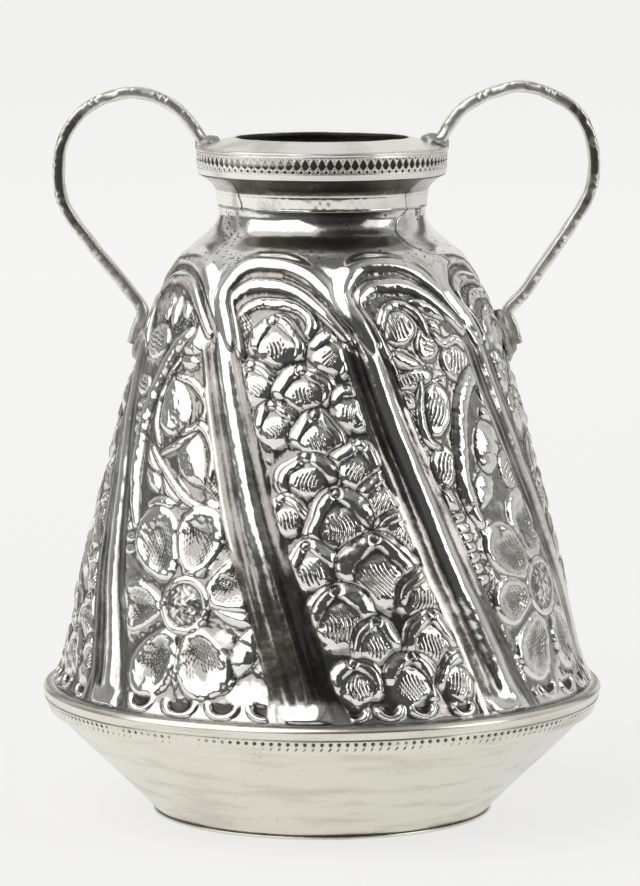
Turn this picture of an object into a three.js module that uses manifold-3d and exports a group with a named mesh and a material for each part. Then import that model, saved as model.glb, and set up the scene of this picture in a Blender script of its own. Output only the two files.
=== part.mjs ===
// A two-handled silver vase of the amphora kind, 146 mm tall, built as the smith builds it.
// Sheet shells are raised or turned, chased from the outside, and soldered edge to edge with laps.
// Sizes are millimetres and angles are degrees. +Z is up, the floor is z = 0 and the axis is X = Y = 0.
// Angle 0 faces the front, which is -Y, and angles grow towards +X.
import * as THREE from 'three';
import Module from 'manifold-3d';

// Sheet and fits; walls are measured level, so the sloping ones count a little more
const wall = 1.0;
const bodyWall = 1.15;
const bowlWall = 1.25;
const collarWall = 0.9;
const lapGap = 0.15;
const seatGap = 0.3;

// Base plate, a flat disc that closes the foot
const plateProjection = 1.3;
const plateThickness = 0.6;
const plateEdgeRound = 0.2;

// Lower bowl, a spun cone between the base plate and the waist
const bowlFootRadius = 33.6;
const bowlHeight = 23.0;
const bowlSwellDepth = 1.1;

// Waist band, a drawn strip that wraps the seam between bowl and body. The waist radius is the
// vase's widest, and the steps in from it place the band's edges, the body's foot and its skirt.
const waistRadius = 56.05;
const bandBelowSeam = 2.8;
const bandAboveSeam = 2.7;
const bandLowerStep = 1.45;
const bandUpperStep = 1.15;
const bodyFootStep = 2.05;
const skirtStep = 2.45;
const beadHeight = 2.6;
const beadCrown = 0.3;

// Body shell, raised and chased, from the waist to the neck
const bodyHeight = 95.1;
const shoulderRadius = 35.0;
const neckRadius = 20.5;
const neckSpigotHeight = 2.0;
const neckSpigotWall = 0.8;

// Relief of the body: eight slanting ribs with nested arches, and panels between them
const ribTwist = 39.9;
const ribTwistCurve = 0.22;
const ribFootAngle = 44.5;
const ribStarts = [-95, -46, 0, 44, 89, 132, 175, 220];
const ribTopShare = 0.85;
const groundDepth = 0.25;
const archHeight = 0.6;
const archHalfWidth = 2.4;
const archLeftDrop = 5.5;
const archRightDrop = 11.5;
const archSteps = 12;
const innerArchHeight = 0.5;
const innerArchHalfWidth = 1.7;
const innerArchLeftDrop = 3.6;
const innerArchRightDrop = 9.4;
const scaleHeight = 0.65;
const bossRadius = 4.7;
const bossHeight = 0.7;
const petalHeight = 0.4;
const padHeight = 0.6;
const scrollHeight = 0.7;
const scrollHalfWidth = 2.2;

// Section of a rib, its side bead and its edge line as [degrees from the crest, height]
const ribSection = [
  [-8.6, 0.2], [-6.8, -0.05], [-4.9, 0.3], [-2.7, -0.15], [0, 0.65], [2.7, -0.1], [6.2, 0],
];

// Scales of a panel as [degrees from the left rib, share of the height, half width, half height]
const scaleOvals = [
  [18.3, 0.818, 5.2, 4.8], [34.7, 0.797, 4.2, 4.8], [9.3, 0.727, 3.8, 4.2], [22.8, 0.717, 5.5, 4.3],
  [34.7, 0.678, 4.1, 4.3], [12.1, 0.641, 4.4, 4], [22.5, 0.616, 4.7, 4.5], [30.3, 0.55, 4.8, 4.6],
  [16.5, 0.53, 5.5, 3.9], [34, 0.48, 4.3, 4.7], [8.3, 0.445, 3.9, 3.7], [21.1, 0.43, 6.1, 5.7],
  [34.9, 0.402, 4.6, 4.4], [10.4, 0.333, 5, 4.4], [25.5, 0.319, 7.2, 6.7], [34.9, 0.263, 5.5, 5.2],
  [12.9, 0.219, 6.8, 5.8], [19, 0.17, 4.4, 4.2], [31.9, 0.165, 5.5, 5.2], [11.7, 0.082, 4.8, 4.3],
  [23.7, 0.082, 5.5, 5], [35.3, 0.082, 4.7, 4.7],
];

// The two kinds of flower panel. Bosses and scrolls are [degrees from the left rib, share of the
// height], and petals and pads have [half length, half width, turn in degrees] added to that.
const flowerKinds = [
  {
    boss: [25.3, 0.246],
    petals: [
      [19.5, 0.371, 7.6, 5.8, 128], [32.2, 0.384, 7, 5.2, 84], [39.5, 0.294, 6.6, 4.9, 22],
      [27.2, 0.127, 7.2, 5.6, -66], [14.5, 0.117, 7.4, 5.4, -118], [11.4, 0.233, 6.2, 4.7, 185],
    ],
    pads: [[27, 0.675, 6.6, 4.6, -50], [33.1, 0.571, 7, 3.6, -48], [17, 0.811, 4.8, 3.6, 5]],
    scroll: [
      [36.5, 0.843], [28.7, 0.804], [20.8, 0.739], [14.2, 0.658], [10.4, 0.577], [9.2, 0.49],
      [10.5, 0.409],
    ],
  },
  {
    boss: [27.5, 0.258],
    petals: [
      [31.5, 0.398, 7.4, 5.9, 92], [19.2, 0.345, 7.2, 4.9, 141], [14.5, 0.243, 5.9, 4.6, 188],
      [16.3, 0.136, 7.2, 5.5, -121], [30.5, 0.14, 7.3, 5.6, -59], [43, 0.305, 7.3, 5.2, 18],
    ],
    pads: [[28.7, 0.584, 5.6, 3.7, 76], [15.1, 0.674, 5.3, 3.5, 78], [31.2, 0.769, 4.9, 3.8, -30]],
    scroll: [
      [33.3, 0.656], [37.2, 0.653], [40.5, 0.691], [39.5, 0.735], [34.3, 0.738], [27.4, 0.7],
      [20.5, 0.623], [15.2, 0.53], [13.4, 0.463], [13.7, 0.419],
    ],
  },
];

// Neck collar, the flared tube that carries the rim
const collarHeight = 6.4;
const collarProjection = 0.45;
const collarTopStep = 0.4;
const collarLipHeight = 3.8;
const flareStartShare = 0.42;
const flareMiddleShare = 0.8;
const flareOutShare = 0.37;

// Rim band, a straight hoop pierced in look only, around the collar's lip
const rimRadius = 25.0;
const rimWall = 1.05;
const rimHeight = 4.7;
const rimRecess = 0.2;
const rimStripHeight = 1.5;
const rimTopHeight = 0.5;

// Mouth plate, a shallow cone from the rim in to the mouth
const mouthRadius = 17.2;
const mouthPlateHeight = 2.5;
const mouthPlateWall = 0.7;
const plateEdgeHeight = 0.65;
const plateEdgeProud = 0.12;
const mouthLipRound = 0.35;

// Handles, two bent strips with their own hand-made curves
const handleThickness = 2.3;
const handleWidth = 5.0;
const handleEdgeRound = 0.55;
const handleSeatShare = 0.857;
const handleTailLength = 6.2;
const seatFade = 3;
const handleRimOffset = 1.4;
const leftHandleHeight = 9.9;
const rightHandleHeight = 11.1;
const leftHandleRadius = 53.4;
const rightHandleRadius = 55.15;
const leftSeatOffset = 0;
const rightSeatOffset = 1.2;

// Solder lumps at the four handle ends
const upperSolderSize = [3.4, 4.6, 2.2];
const lowerSolderSize = [2.6, 4.8, 4.4];
const upperSolderLean = 20;

// Fineness of the round forms
const turns = 64;
const panelSteps = 7;
const bodyRows = 43;
const innerRows = 7;
const handleSteps = 44;

const degree = Math.PI / 180;
const fullTurn = 360;
const wasm = await Module();
wasm.setup();

// Heights of the seams, stacked from the floor
const bowlFootZ = plateThickness;
const waistSeamZ = bowlFootZ + bowlHeight;
const bandFootZ = waistSeamZ - bandBelowSeam;
const bodyFootZ = waistSeamZ + bandAboveSeam;
const neckSeamZ = bodyFootZ + bodyHeight;
const rimFootZ = neckSeamZ + collarHeight;
const plateSeamZ = rimFootZ + rimHeight;
const mouthZ = plateSeamZ + mouthPlateHeight;
const plateRadius = bowlFootRadius + plateProjection;
const bandLowerEdgeRadius = waistRadius - bandLowerStep;
const bandUpperEdgeRadius = waistRadius - bandUpperStep;
const bodyFootRadius = waistRadius - bodyFootStep;
const waistSkirtRadius = waistRadius - skirtStep;
const bandInnerRadius = waistSkirtRadius + lapGap;
const collarFootRadius = neckRadius + collarProjection;
const collarTopRadius = rimRadius - collarTopStep;
const spigotRadius = collarFootRadius - collarWall - 2 * lapGap;
const collarLipRadius = rimRadius - rimWall - lapGap;

// Materials, one for each finish
const polished = new THREE.MeshStandardMaterial({ color: 0xe9e6dd, metalness: 1, roughness: 0.22 });
const chased = new THREE.MeshStandardMaterial({ color: 0xd9d5ca, metalness: 1, roughness: 0.3 });
const pierced = new THREE.MeshStandardMaterial({ color: 0xcfcabd, metalness: 1, roughness: 0.32 });
const solderMetal = new THREE.MeshStandardMaterial({ color: 0xc3beb2, metalness: 1, roughness: 0.42 });

// A ring body from one closed outline of [radius, height] points, listed outside first and upwards
function turned(outline) {
  const points = outline.map(([radius, height]) => new THREE.Vector2(radius, height));
  points.push(points[0].clone());
  return closedLathe(points, turns);
}

// Quads between neighbouring rings of a closed loop of rings, each ring a list of [x, y, z]
function ringLoop(rings) {
  const count = rings[0].length;
  const index = [];
  rings.forEach((_, row) => {
    const nextRow = (row + 1) % rings.length;
    for (let column = 0; column < count; column += 1) {
      const nextColumn = (column + 1) % count;
      const a = row * count + column;
      const b = row * count + nextColumn;
      const c = nextRow * count + nextColumn;
      const d = nextRow * count + column;
      index.push(a, b, c, a, c, d);
    }
  });
  const geometry = new THREE.BufferGeometry();
  geometry.setAttribute('position', new THREE.Float32BufferAttribute(rings.flat(2), 3));
  geometry.setIndex(index);
  return geometry;
}

// A closed outline turned about the axis, with shared vertices
function closedLathe(points, segments) {
  const rings = points.slice(0, -1).map((point) => Array.from({ length: segments }, (_, step) => {
    const angle = 2 * Math.PI * step / segments;
    return [point.x * Math.cos(angle), point.x * Math.sin(angle), point.y];
  }));
  return ringLoop(rings);
}

// A solid for cutting, and a geometry back from one
function toSolid(geometry) {
  return new wasm.Manifold(new wasm.Mesh({
    numProp: 3,
    vertProperties: new Float32Array(geometry.attributes.position.array),
    triVerts: new Uint32Array(geometry.index.array),
  }));
}

function fromSolid(solid) {
  const mesh = solid.getMesh();
  const geometry = new THREE.BufferGeometry();
  geometry.setAttribute('position', new THREE.Float32BufferAttribute(mesh.vertProperties, 3));
  geometry.setIndex(Array.from(mesh.triVerts));
  return geometry;
}

// Base plate: a disc with softened edges
function basePlate() {
  const flat = plateRadius - plateEdgeRound;
  const disc = [
    new THREE.Vector2(0, 0),
    new THREE.Vector2(flat, 0),
    new THREE.Vector2(plateRadius, plateEdgeRound),
    new THREE.Vector2(plateRadius, plateThickness - plateEdgeRound),
    new THREE.Vector2(flat, plateThickness),
    new THREE.Vector2(0, plateThickness),
  ];
  return new THREE.LatheGeometry(disc, turns).rotateX(Math.PI / 2);
}

// Radius of the bowl's outer face: a cone from foot to skirt, swollen by a parabola
function bowlRadius(height) {
  const share = (height - bowlFootZ) / (bandFootZ - bowlFootZ);
  return bowlFootRadius + (waistSkirtRadius - bowlFootRadius) * share
    + 4 * bowlSwellDepth * (share - 0.5) * Math.max(share, 0) * (1 - share);
}

// Lower bowl: open below on the base plate, its straight top edge meeting the body's skirt
function lowerBowl() {
  const steps = 4;
  const heights = Array.from({ length: steps + 1 }, (_, i) => (
    bowlFootZ + (bandFootZ - bowlFootZ) * i / steps));
  const outer = heights.map((z) => [bowlRadius(z), z]);
  const inner = heights.map((z) => [bowlRadius(z) - bowlWall, z]).reverse();
  return turned([
    ...outer,
    [waistSkirtRadius, waistSeamZ],
    [waistSkirtRadius - wall, waistSeamZ],
    ...inner,
  ]);
}

// Waist band: a sloping punched face below and a smooth bead above
function waistBand() {
  const beadFootZ = bodyFootZ - beadHeight;
  return turned([
    [bandLowerEdgeRadius, bandFootZ],
    [waistRadius - beadCrown, beadFootZ - beadCrown],
    [waistRadius - 1.5 * beadCrown, beadFootZ],
    [waistRadius, beadFootZ + beadHeight / 3],
    [waistRadius - beadCrown, beadFootZ + 2 * beadHeight / 3],
    [bandUpperEdgeRadius, bodyFootZ],
    [bandInnerRadius, bodyFootZ],
    [bandInnerRadius, bandFootZ],
  ]);
}

// The body's plain outline without relief, as [share of the height, share of the narrowing]:
// from the foot to the shoulder it narrows to the shoulder radius, and above that to the neck's
const lowerOutline = [
  [0, 0], [0.039, 0.095], [0.144, 0.232], [0.249, 0.337], [0.354, 0.468], [0.46, 0.611],
  [0.565, 0.742], [0.649, 0.858], [0.754, 1],
];
const upperOutline = [
  [0.799, 0.11], [0.859, 0.345], [0.897, 0.497], [0.925, 0.69], [0.954, 0.903], [0.979, 0.993], [1, 1],
];
const between = (from, to) => ([up, narrowing]) => new THREE.Vector2(
  from + (to - from) * narrowing, bodyFootZ + up * bodyHeight);
const bodyOutline = new THREE.SplineCurve([
  ...lowerOutline.map(between(bodyFootRadius, shoulderRadius)),
  ...upperOutline.map(between(shoulderRadius, neckRadius)),
]);

function bodyRadius(height) {
  const samples = bodyOutline.getPoints(120);
  const above = samples.findIndex((point) => point.y >= height);
  if (above <= 0) {
    return samples[above === 0 ? 0 : samples.length - 1].x;
  }
  const [low, high] = [samples[above - 1], samples[above]];
  return low.x + (high.x - low.x) * (height - low.y) / (high.y - low.y);
}

// Height share of a point of the relief, counted from the waist to the top of the arches
const archTopShare = 0.906;
const panelTopZ = bodyFootZ + archTopShare * bodyHeight;

function shareOf(height) {
  return (height - bodyFootZ) / (panelTopZ - bodyFootZ);
}

function heightOf(share) {
  return bodyFootZ + share * (panelTopZ - bodyFootZ);
}

// Heights where the handles meet the shoulder and where their tails end
const shoulderZ = heightOf(handleSeatShare);
const footTipZ = shoulderZ - handleTailLength;

// Angle of the first rib at a height: the ribs lean, and lean more towards the shoulder
function swirl(height) {
  const share = shareOf(height);
  return ribFootAngle - ribTwist * ((1 - ribTwistCurve) * share + ribTwistCurve * share * share);
}

// The same angle between half a turn back and half a turn on
function wrapped(angle) {
  return THREE.MathUtils.euclideanModulo(angle + fullTurn / 2, fullTurn) - fullTurn / 2;
}

// Rounded bead: full height on its line and down to the sunk ground at its half width
function bead(distance, halfWidth, height) {
  const share = Math.min(Math.abs(distance) / halfWidth, 1);
  return (height + groundDepth) * Math.cos(share * Math.PI / 2) - groundDepth;
}

// Dome over the sunk ground: an ellipse of half sizes a and b turned by an angle
function dome(dx, dz, turn, a, b, height) {
  const c = Math.cos(turn * degree);
  const s = Math.sin(turn * degree);
  const along = (dx * c + dz * s) / a;
  const across = (-dx * s + dz * c) / b;
  const rise = Math.sqrt(Math.max(0, 1 - along * along - across * across));
  return (height + groundDepth) * rise - groundDepth;
}

// Distance in millimetres from a point to a chain of [angle, height] points
function chainDistance(angle, height, radius, chain) {
  let best = Infinity;
  for (let i = 0; i + 1 < chain.length; i += 1) {
    const ax = (chain[i][0] - angle) * degree * radius;
    const az = chain[i][1] - height;
    const bx = (chain[i + 1][0] - angle) * degree * radius;
    const bz = chain[i + 1][1] - height;
    const dx = bx - ax;
    const dz = bz - az;
    const share = Math.min(1, Math.max(0, -(ax * dx + az * dz) / (dx * dx + dz * dz)));
    best = Math.min(best, Math.hypot(ax + share * dx, az + share * dz));
  }
  return best;
}

// Height of an arch over a panel: a lopsided cubic, steep at its left foot, down to the right rib
const archCrown = 0.39;
const archLeft = 0.02;

function archLine(across, topShare, leftDrop, rightDrop, rightEnd) {
  const drop = across < archCrown
    ? leftDrop * ((archCrown - across) / (archCrown - archLeft)) ** 3
    : rightDrop * ((across - archCrown) / (rightEnd - archCrown)) ** 3;
  return heightOf(topShare) - drop;
}

function archChain(start, width, topShare, leftDrop, rightDrop, rightEnd) {
  return Array.from({ length: archSteps + 1 }, (_, i) => {
    const across = archLeft + (rightEnd - archLeft) * i / archSteps;
    const height = archLine(across, topShare, leftDrop, rightDrop, rightEnd);
    return [start + width * across + swirl(height), height];
  });
}

// What one panel holds, worked out once: arches for each, scales or a flower with pads and a scroll
const outerArchShare = 0.995;
const innerArchShare = 0.947;
const sideBeadAngle = ribSection[2][0];
const panels = ribStarts.map((start, i) => {
  const end = i + 1 < ribStarts.length ? ribStarts[i + 1] : ribStarts[0] + fullTurn;
  const width = end - start;
  const innerEnd = 1 + sideBeadAngle / width;
  const place = ([across, share, ...rest]) => (
    [start + across + swirl(heightOf(share)), heightOf(share), ...rest]);
  const kind = flowerKinds[i / 2 % flowerKinds.length];
  return {
    start,
    width,
    outerArch: archChain(start, width, outerArchShare, archLeftDrop, archRightDrop, 1),
    innerArch: archChain(start, width, innerArchShare, innerArchLeftDrop, innerArchRightDrop, innerEnd),
    scales: kind ? [] : scaleOvals.map(place),
    bosses: kind ? [place(kind.boss)] : [],
    petals: kind ? kind.petals.map(place) : [],
    pads: kind ? kind.pads.map(place) : [],
    scroll: kind ? kind.scroll.map(place) : [],
  };
});

// The handles' feet lie on places that are beaten flat, wide enough for the solder beside them
const seatMiddleZ = (footTipZ + shoulderZ) / 2;
const seatHalfHeight = (shoulderZ - footTipZ) / 2 + lowerSolderSize[2];

function seatFlatness(angle, height) {
  const side = Math.abs(Math.abs(angle) - 90) * degree * shoulderRadius;
  const up = Math.abs(height - seatMiddleZ);
  const flatHalfWidth = lowerSolderSize[1] + seatGap;
  const across = THREE.MathUtils.smoothstep(side, flatHalfWidth, flatHalfWidth + seatFade);
  return Math.max(across, THREE.MathUtils.smoothstep(up, seatHalfHeight, seatHalfHeight + seatFade));
}

// Height of a rib's section at an angle from its crest
function sectionLevel(across) {
  const next = ribSection.findIndex(([step]) => step > across);
  const [low, high] = [ribSection[next - 1], ribSection[next]];
  return low[1] + (high[1] - low[1]) * (across - low[0]) / (high[0] - low[0]);
}

// Level of a panel between its ribs: the highest of its forms, or the sunk ground between them
function panelLevel(panel, angle, height, radius) {
  const over = (forms, rise) => forms.map(([formAngle, formZ, a, b = a, turn = 0]) => (
    dome((angle - formAngle) * degree * radius, height - formZ, turn, a, b, rise)));
  return Math.max(
    -groundDepth,
    ...over(panel.scales, scaleHeight),
    ...over(panel.bosses.map((place) => [...place, bossRadius]), bossHeight),
    ...over(panel.petals, petalHeight),
    ...over(panel.pads, padHeight),
    bead(chainDistance(angle, height, radius, panel.scroll), scrollHalfWidth, scrollHeight),
  );
}

// Relief in millimetres at an angle and height: panels, the ribs between them, and arches on top
function relief(angle, height, radius) {
  if (height <= bodyFootZ + wall / 2 || height >= panelTopZ + archHalfWidth) {
    return 0;
  }
  let level = 0;
  let arches = -groundDepth;
  panels.forEach((panel) => {
    const middle = panel.start + panel.width / 2 + swirl(height);
    const near = middle + wrapped(angle - middle);
    const across = near - panel.start - swirl(height);
    const share = across / panel.width;
    const line = archLine(share, outerArchShare, archLeftDrop, archRightDrop, 1);
    if (share >= 0 && share < 1 && height < line) {
      level = panelLevel(panel, near, height, radius);
    }
    arches = Math.max(arches,
      bead(chainDistance(near, height, radius, panel.outerArch), archHalfWidth, archHeight),
      bead(chainDistance(near, height, radius, panel.innerArch), innerArchHalfWidth, innerArchHeight));
  });
  ribStarts.forEach((start) => {
    const across = wrapped(angle - start - swirl(height));
    if (height < heightOf(ribTopShare) && across >= ribSection[0][0] && across < ribSection.at(-1)[0]) {
      level = sectionLevel(across);
    }
  });
  return Math.max(level, arches) * seatFlatness(angle, height);
}

// Body shell: columns follow the ribs, the outer face has the relief, and the inside is smooth.
// Its foot is a straight skirt inside the waist band, and its neck ends in a spigot.
function bodyShell() {
  const columns = panels.flatMap(({ start, width }) => {
    const first = start + ribSection.at(-1)[0];
    const last = start + width + ribSection[0][0];
    const between = Array.from({ length: panelSteps - 1 }, (_, step) => (
      first + (last - first) * (step + 1) / panelSteps));
    return [...ribSection.map(([step]) => start + step), ...between];
  });
  const ring = (radius, height, reliefAt) => columns.map((column) => {
    const angle = column + swirl(height);
    const out = radius + reliefAt(wrapped(angle));
    return [out * Math.sin(angle * degree), -out * Math.cos(angle * degree), height];
  });
  const plain = () => 0;
  const outer = bodyOutline.getSpacedPoints(bodyRows).map((point) => (
    ring(point.x, point.y, (angle) => relief(angle, point.y, point.x))));
  const inner = bodyOutline.getSpacedPoints(innerRows).reverse().slice(1, -1)
    .map((point) => ring(point.x - bodyWall, point.y, plain));
  const spigotTopZ = neckSeamZ + neckSpigotHeight;
  const skirtInner = waistSkirtRadius - wall;
  return ringLoop([
    ring(waistSkirtRadius, waistSeamZ, plain),
    ring(waistSkirtRadius, bodyFootZ, plain),
    ...outer,
    ring(spigotRadius, neckSeamZ, plain),
    ring(spigotRadius, spigotTopZ, plain),
    ring(spigotRadius - neckSpigotWall, spigotTopZ, plain),
    ring(spigotRadius - neckSpigotWall, neckSeamZ - neckSpigotHeight, plain),
    ...inner,
    ring(skirtInner, waistSeamZ, plain),
  ]);
}

// Neck collar: a foot band, a flare, a flat seat for the rim band and a straight lip inside it
function neckCollar() {
  const flareZ = neckSeamZ + flareStartShare * collarHeight;
  const flareMiddleZ = neckSeamZ + flareMiddleShare * collarHeight;
  const flareMiddleRadius = collarFootRadius + flareOutShare * (collarTopRadius - collarFootRadius);
  return turned([
    [collarFootRadius, neckSeamZ],
    [collarFootRadius, flareZ],
    [flareMiddleRadius, flareMiddleZ],
    [collarTopRadius, rimFootZ],
    [collarLipRadius, rimFootZ],
    [collarLipRadius, rimFootZ + collarLipHeight],
    [collarLipRadius - collarWall, rimFootZ + collarLipHeight],
    [collarLipRadius - collarWall, rimFootZ + flareOutShare * collarWall],
    [flareMiddleRadius - collarWall, flareMiddleZ],
    [collarFootRadius - collarWall, flareZ],
    [collarFootRadius - collarWall, neckSeamZ],
  ]);
}

// Rim band: a plain lower strip and a slightly sunk field that carries the lattice
function rimBand() {
  const fieldFootZ = rimFootZ + rimStripHeight;
  const fieldTopZ = plateSeamZ - rimTopHeight;
  const inner = rimRadius - rimWall;
  return turned([
    [rimRadius, rimFootZ],
    [rimRadius, fieldFootZ],
    [rimRadius - rimRecess, fieldFootZ + rimRecess],
    [rimRadius - rimRecess, fieldTopZ - rimRecess],
    [rimRadius, fieldTopZ],
    [rimRadius, plateSeamZ],
    [inner, plateSeamZ],
    [inner, rimFootZ],
  ]);
}

// Mouth plate: seated on the rim band, with a rolled outer edge and a thin mouth lip
function mouthPlate() {
  const seat = rimRadius - rimWall;
  return turned([
    [rimRadius, plateSeamZ],
    [rimRadius + plateEdgeProud, plateSeamZ + plateEdgeHeight / 2],
    [rimRadius - 2 * plateEdgeProud, plateSeamZ + plateEdgeHeight],
    [mouthRadius + mouthLipRound, mouthZ],
    [mouthRadius, mouthZ - mouthLipRound / 2],
    [mouthRadius, mouthZ - mouthPlateWall],
    [seat, plateSeamZ + plateEdgeProud],
    [seat, plateSeamZ],
  ]);
}

// Handle centre lines as [out, up] shares: 0 out is the rim end and 1 out the far side of the loop,
// 0 up is the seat on the shoulder and 1 up the crown. Each handle was bent by hand to its own line.
const leftBend = [
  [-0.03, 0.74], [0, 0.779], [0.187, 0.931], [0.47, 1], [0.782, 0.94], [0.963, 0.792],
  [1, 0.63], [0.966, 0.492], [0.773, 0.306], [0.532, 0.111],
];
const rightBend = [
  [-0.03, 0.73], [0, 0.771], [0.145, 0.906], [0.409, 0.991], [0.574, 1], [0.859, 0.91], [0.959, 0.807],
  [1, 0.67], [0.975, 0.537], [0.831, 0.366], [0.647, 0.185], [0.548, 0.085],
];

function handleLine(bend, rise, reach, seatOffset) {
  const startX = rimRadius - handleRimOffset;
  const endX = reach - handleThickness / 2;
  const crownZ = mouthZ + rise - handleThickness / 2;
  const layOff = handleThickness / 2 + seatGap + seatOffset;
  const tail = [shoulderZ, (shoulderZ + footTipZ) / 2, footTipZ];
  return [
    ...bend.map(([out, up]) => [startX + out * (endX - startX), shoulderZ + up * (crownZ - shoulderZ)]),
    ...tail.map((z) => [bodyRadius(z) + layOff, z]),
  ];
}

// A strip bent along its line: a flat section with softened edges, carried by a frame in the plane
function strip(line, thickness, width, round) {
  const curve = new THREE.CatmullRomCurve3(line.map(([x, z]) => new THREE.Vector3(x, 0, z)),
    false, 'centripetal');
  const places = curve.getSpacedPoints(handleSteps);
  const t = thickness / 2;
  const w = width / 2;
  const section = [[t, -w + round], [t, w - round], [t - round, w], [-t + round, w],
    [-t, w - round], [-t, -w + round], [-t + round, -w], [t - round, -w]];
  const positions = [];
  places.forEach((place, i) => {
    const before = places[Math.max(i - 1, 0)];
    const after = places[Math.min(i + 1, handleSteps)];
    const along = new THREE.Vector3().subVectors(after, before).normalize();
    const out = new THREE.Vector3(along.z, 0, -along.x);
    section.forEach(([o, y]) => positions.push(place.x + o * out.x, y, place.z + o * out.z));
  });
  const sides = section.length;
  const index = [];
  for (let i = 0; i < handleSteps; i += 1) {
    for (let k = 0; k < sides; k += 1) {
      const a = i * sides + k;
      const b = i * sides + (k + 1) % sides;
      index.push(a, b, b + sides, a, b + sides, a + sides);
    }
  }
  for (let k = 1; k + 1 < sides; k += 1) {
    const last = handleSteps * sides;
    index.push(0, k + 1, k);
    index.push(last, last + k, last + k + 1);
  }
  const geometry = new THREE.BufferGeometry();
  geometry.setAttribute('position', new THREE.Float32BufferAttribute(positions, 3));
  geometry.setIndex(index);
  return geometry;
}

// What the handles and the solder are cut by: the neighbours' outer forms grown by the seat gap
function neighbourForm() {
  const body = bodyOutline.getPoints(48).map((point) => [point.x + seatGap, point.y]);
  return toSolid(turned([
    ...body,
    [collarTopRadius + seatGap, rimFootZ - seatGap],
    [rimRadius + plateEdgeProud + seatGap, rimFootZ - seatGap],
    [rimRadius + plateEdgeProud + seatGap, plateSeamZ + plateEdgeHeight / 2],
    [rimRadius - plateEdgeProud, plateSeamZ + plateEdgeHeight + seatGap],
    [mouthRadius, mouthZ + seatGap],
    [mouthRadius - wall, mouthZ + seatGap],
    [mouthRadius - wall, bodyFootZ],
  ]));
}

// A handle on its side, trimmed to its seats; side is 1 on the right and -1 on the left
function handle(line, side, cutter, extra = 0) {
  const bent = strip(line, handleThickness + extra, handleWidth + extra, handleEdgeRound);
  const solid = toSolid(bent);
  const placed = side > 0 ? solid : solid.mirror([1, 0, 0]);
  return cutter ? placed.subtract(cutter) : placed;
}

// A solder lump: a ball drawn out to the given half sizes, cut to the shells and the strip
function solderLump(centre, sizes, lean, side, cutter, stripForm) {
  const ball = new THREE.SphereGeometry(1, 12, 6);
  ball.deleteAttribute('uv');
  ball.deleteAttribute('normal');
  const welded = weldByPlace(ball);
  welded.scale(...sizes).rotateY(lean * degree).translate(side * centre[0], 0, centre[1]);
  return toSolid(welded).subtract(cutter).subtract(stripForm);
}

// The same geometry with vertices at one place joined into one
function weldByPlace(geometry) {
  const seen = new Map();
  const positions = [];
  const source = geometry.attributes.position;
  const target = Array.from({ length: source.count }, (_, i) => {
    const place = [source.getX(i), source.getY(i), source.getZ(i)];
    const key = place.map((value) => Math.round(value * 1e5)).join();
    if (!seen.has(key)) {
      seen.set(key, seen.size);
      positions.push(...place);
    }
    return seen.get(key);
  });
  const index = [];
  for (let i = 0; i < geometry.index.count; i += 3) {
    const [a, b, c] = [0, 1, 2].map((k) => target[geometry.index.getX(i + k)]);
    if (a !== b && b !== c && c !== a) {
      index.push(a, b, c);
    }
  }
  const welded = new THREE.BufferGeometry();
  welded.setAttribute('position', new THREE.Float32BufferAttribute(positions, 3));
  welded.setIndex(index);
  return welded;
}

const vase = new THREE.Group();
vase.name = 'two_handled_vase';

function add(name, geometry, material) {
  const mesh = new THREE.Mesh(geometry, material);
  mesh.name = name;
  vase.add(mesh);
}

add('base_plate', basePlate(), polished);
add('lower_bowl', lowerBowl(), polished);
add('waist_band', waistBand(), polished);
add('body_shell', bodyShell(), chased);
add('neck_collar', neckCollar(), polished);
add('rim_band', rimBand(), pierced);
add('mouth_plate', mouthPlate(), polished);

// The lower lumps lean with the shoulder under the handles' tails and leave their outer faces free
const tailLean = Math.atan2(bodyRadius(footTipZ) - bodyRadius(shoulderZ), handleTailLength) / degree;
const form = neighbourForm();
[['left', -1, handleLine(leftBend, leftHandleHeight, leftHandleRadius, leftSeatOffset), leftSeatOffset],
  ['right', 1, handleLine(rightBend, rightHandleHeight, rightHandleRadius, rightSeatOffset), rightSeatOffset],
].forEach(([word, side, line, seatOffset]) => {
  const fitted = handle(line, side, form);
  const grown = handle(line, side, null, 2 * seatGap);
  const swept = grown.add(grown.translate([side * lowerSolderSize[0], 0, 0]))
    .add(grown.translate([-side * seatGap, 0, 0]));
  add(`${word}_handle`, fromSolid(fitted), polished);
  const upper = [rimRadius - handleRimOffset + seatGap, plateSeamZ + plateEdgeHeight + seatGap];
  const lower = [bodyRadius(footTipZ) + seatGap + seatOffset / 2, footTipZ + seatGap];
  add(`solder_${word}_upper`,
    fromSolid(solderLump(upper, upperSolderSize, side * upperSolderLean, side, form, grown)), solderMetal);
  add(`solder_${word}_lower`,
    fromSolid(solderLump(lower, lowerSolderSize, side * tailLean, side, form, swept)), solderMetal);
});

export default vase;
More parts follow.
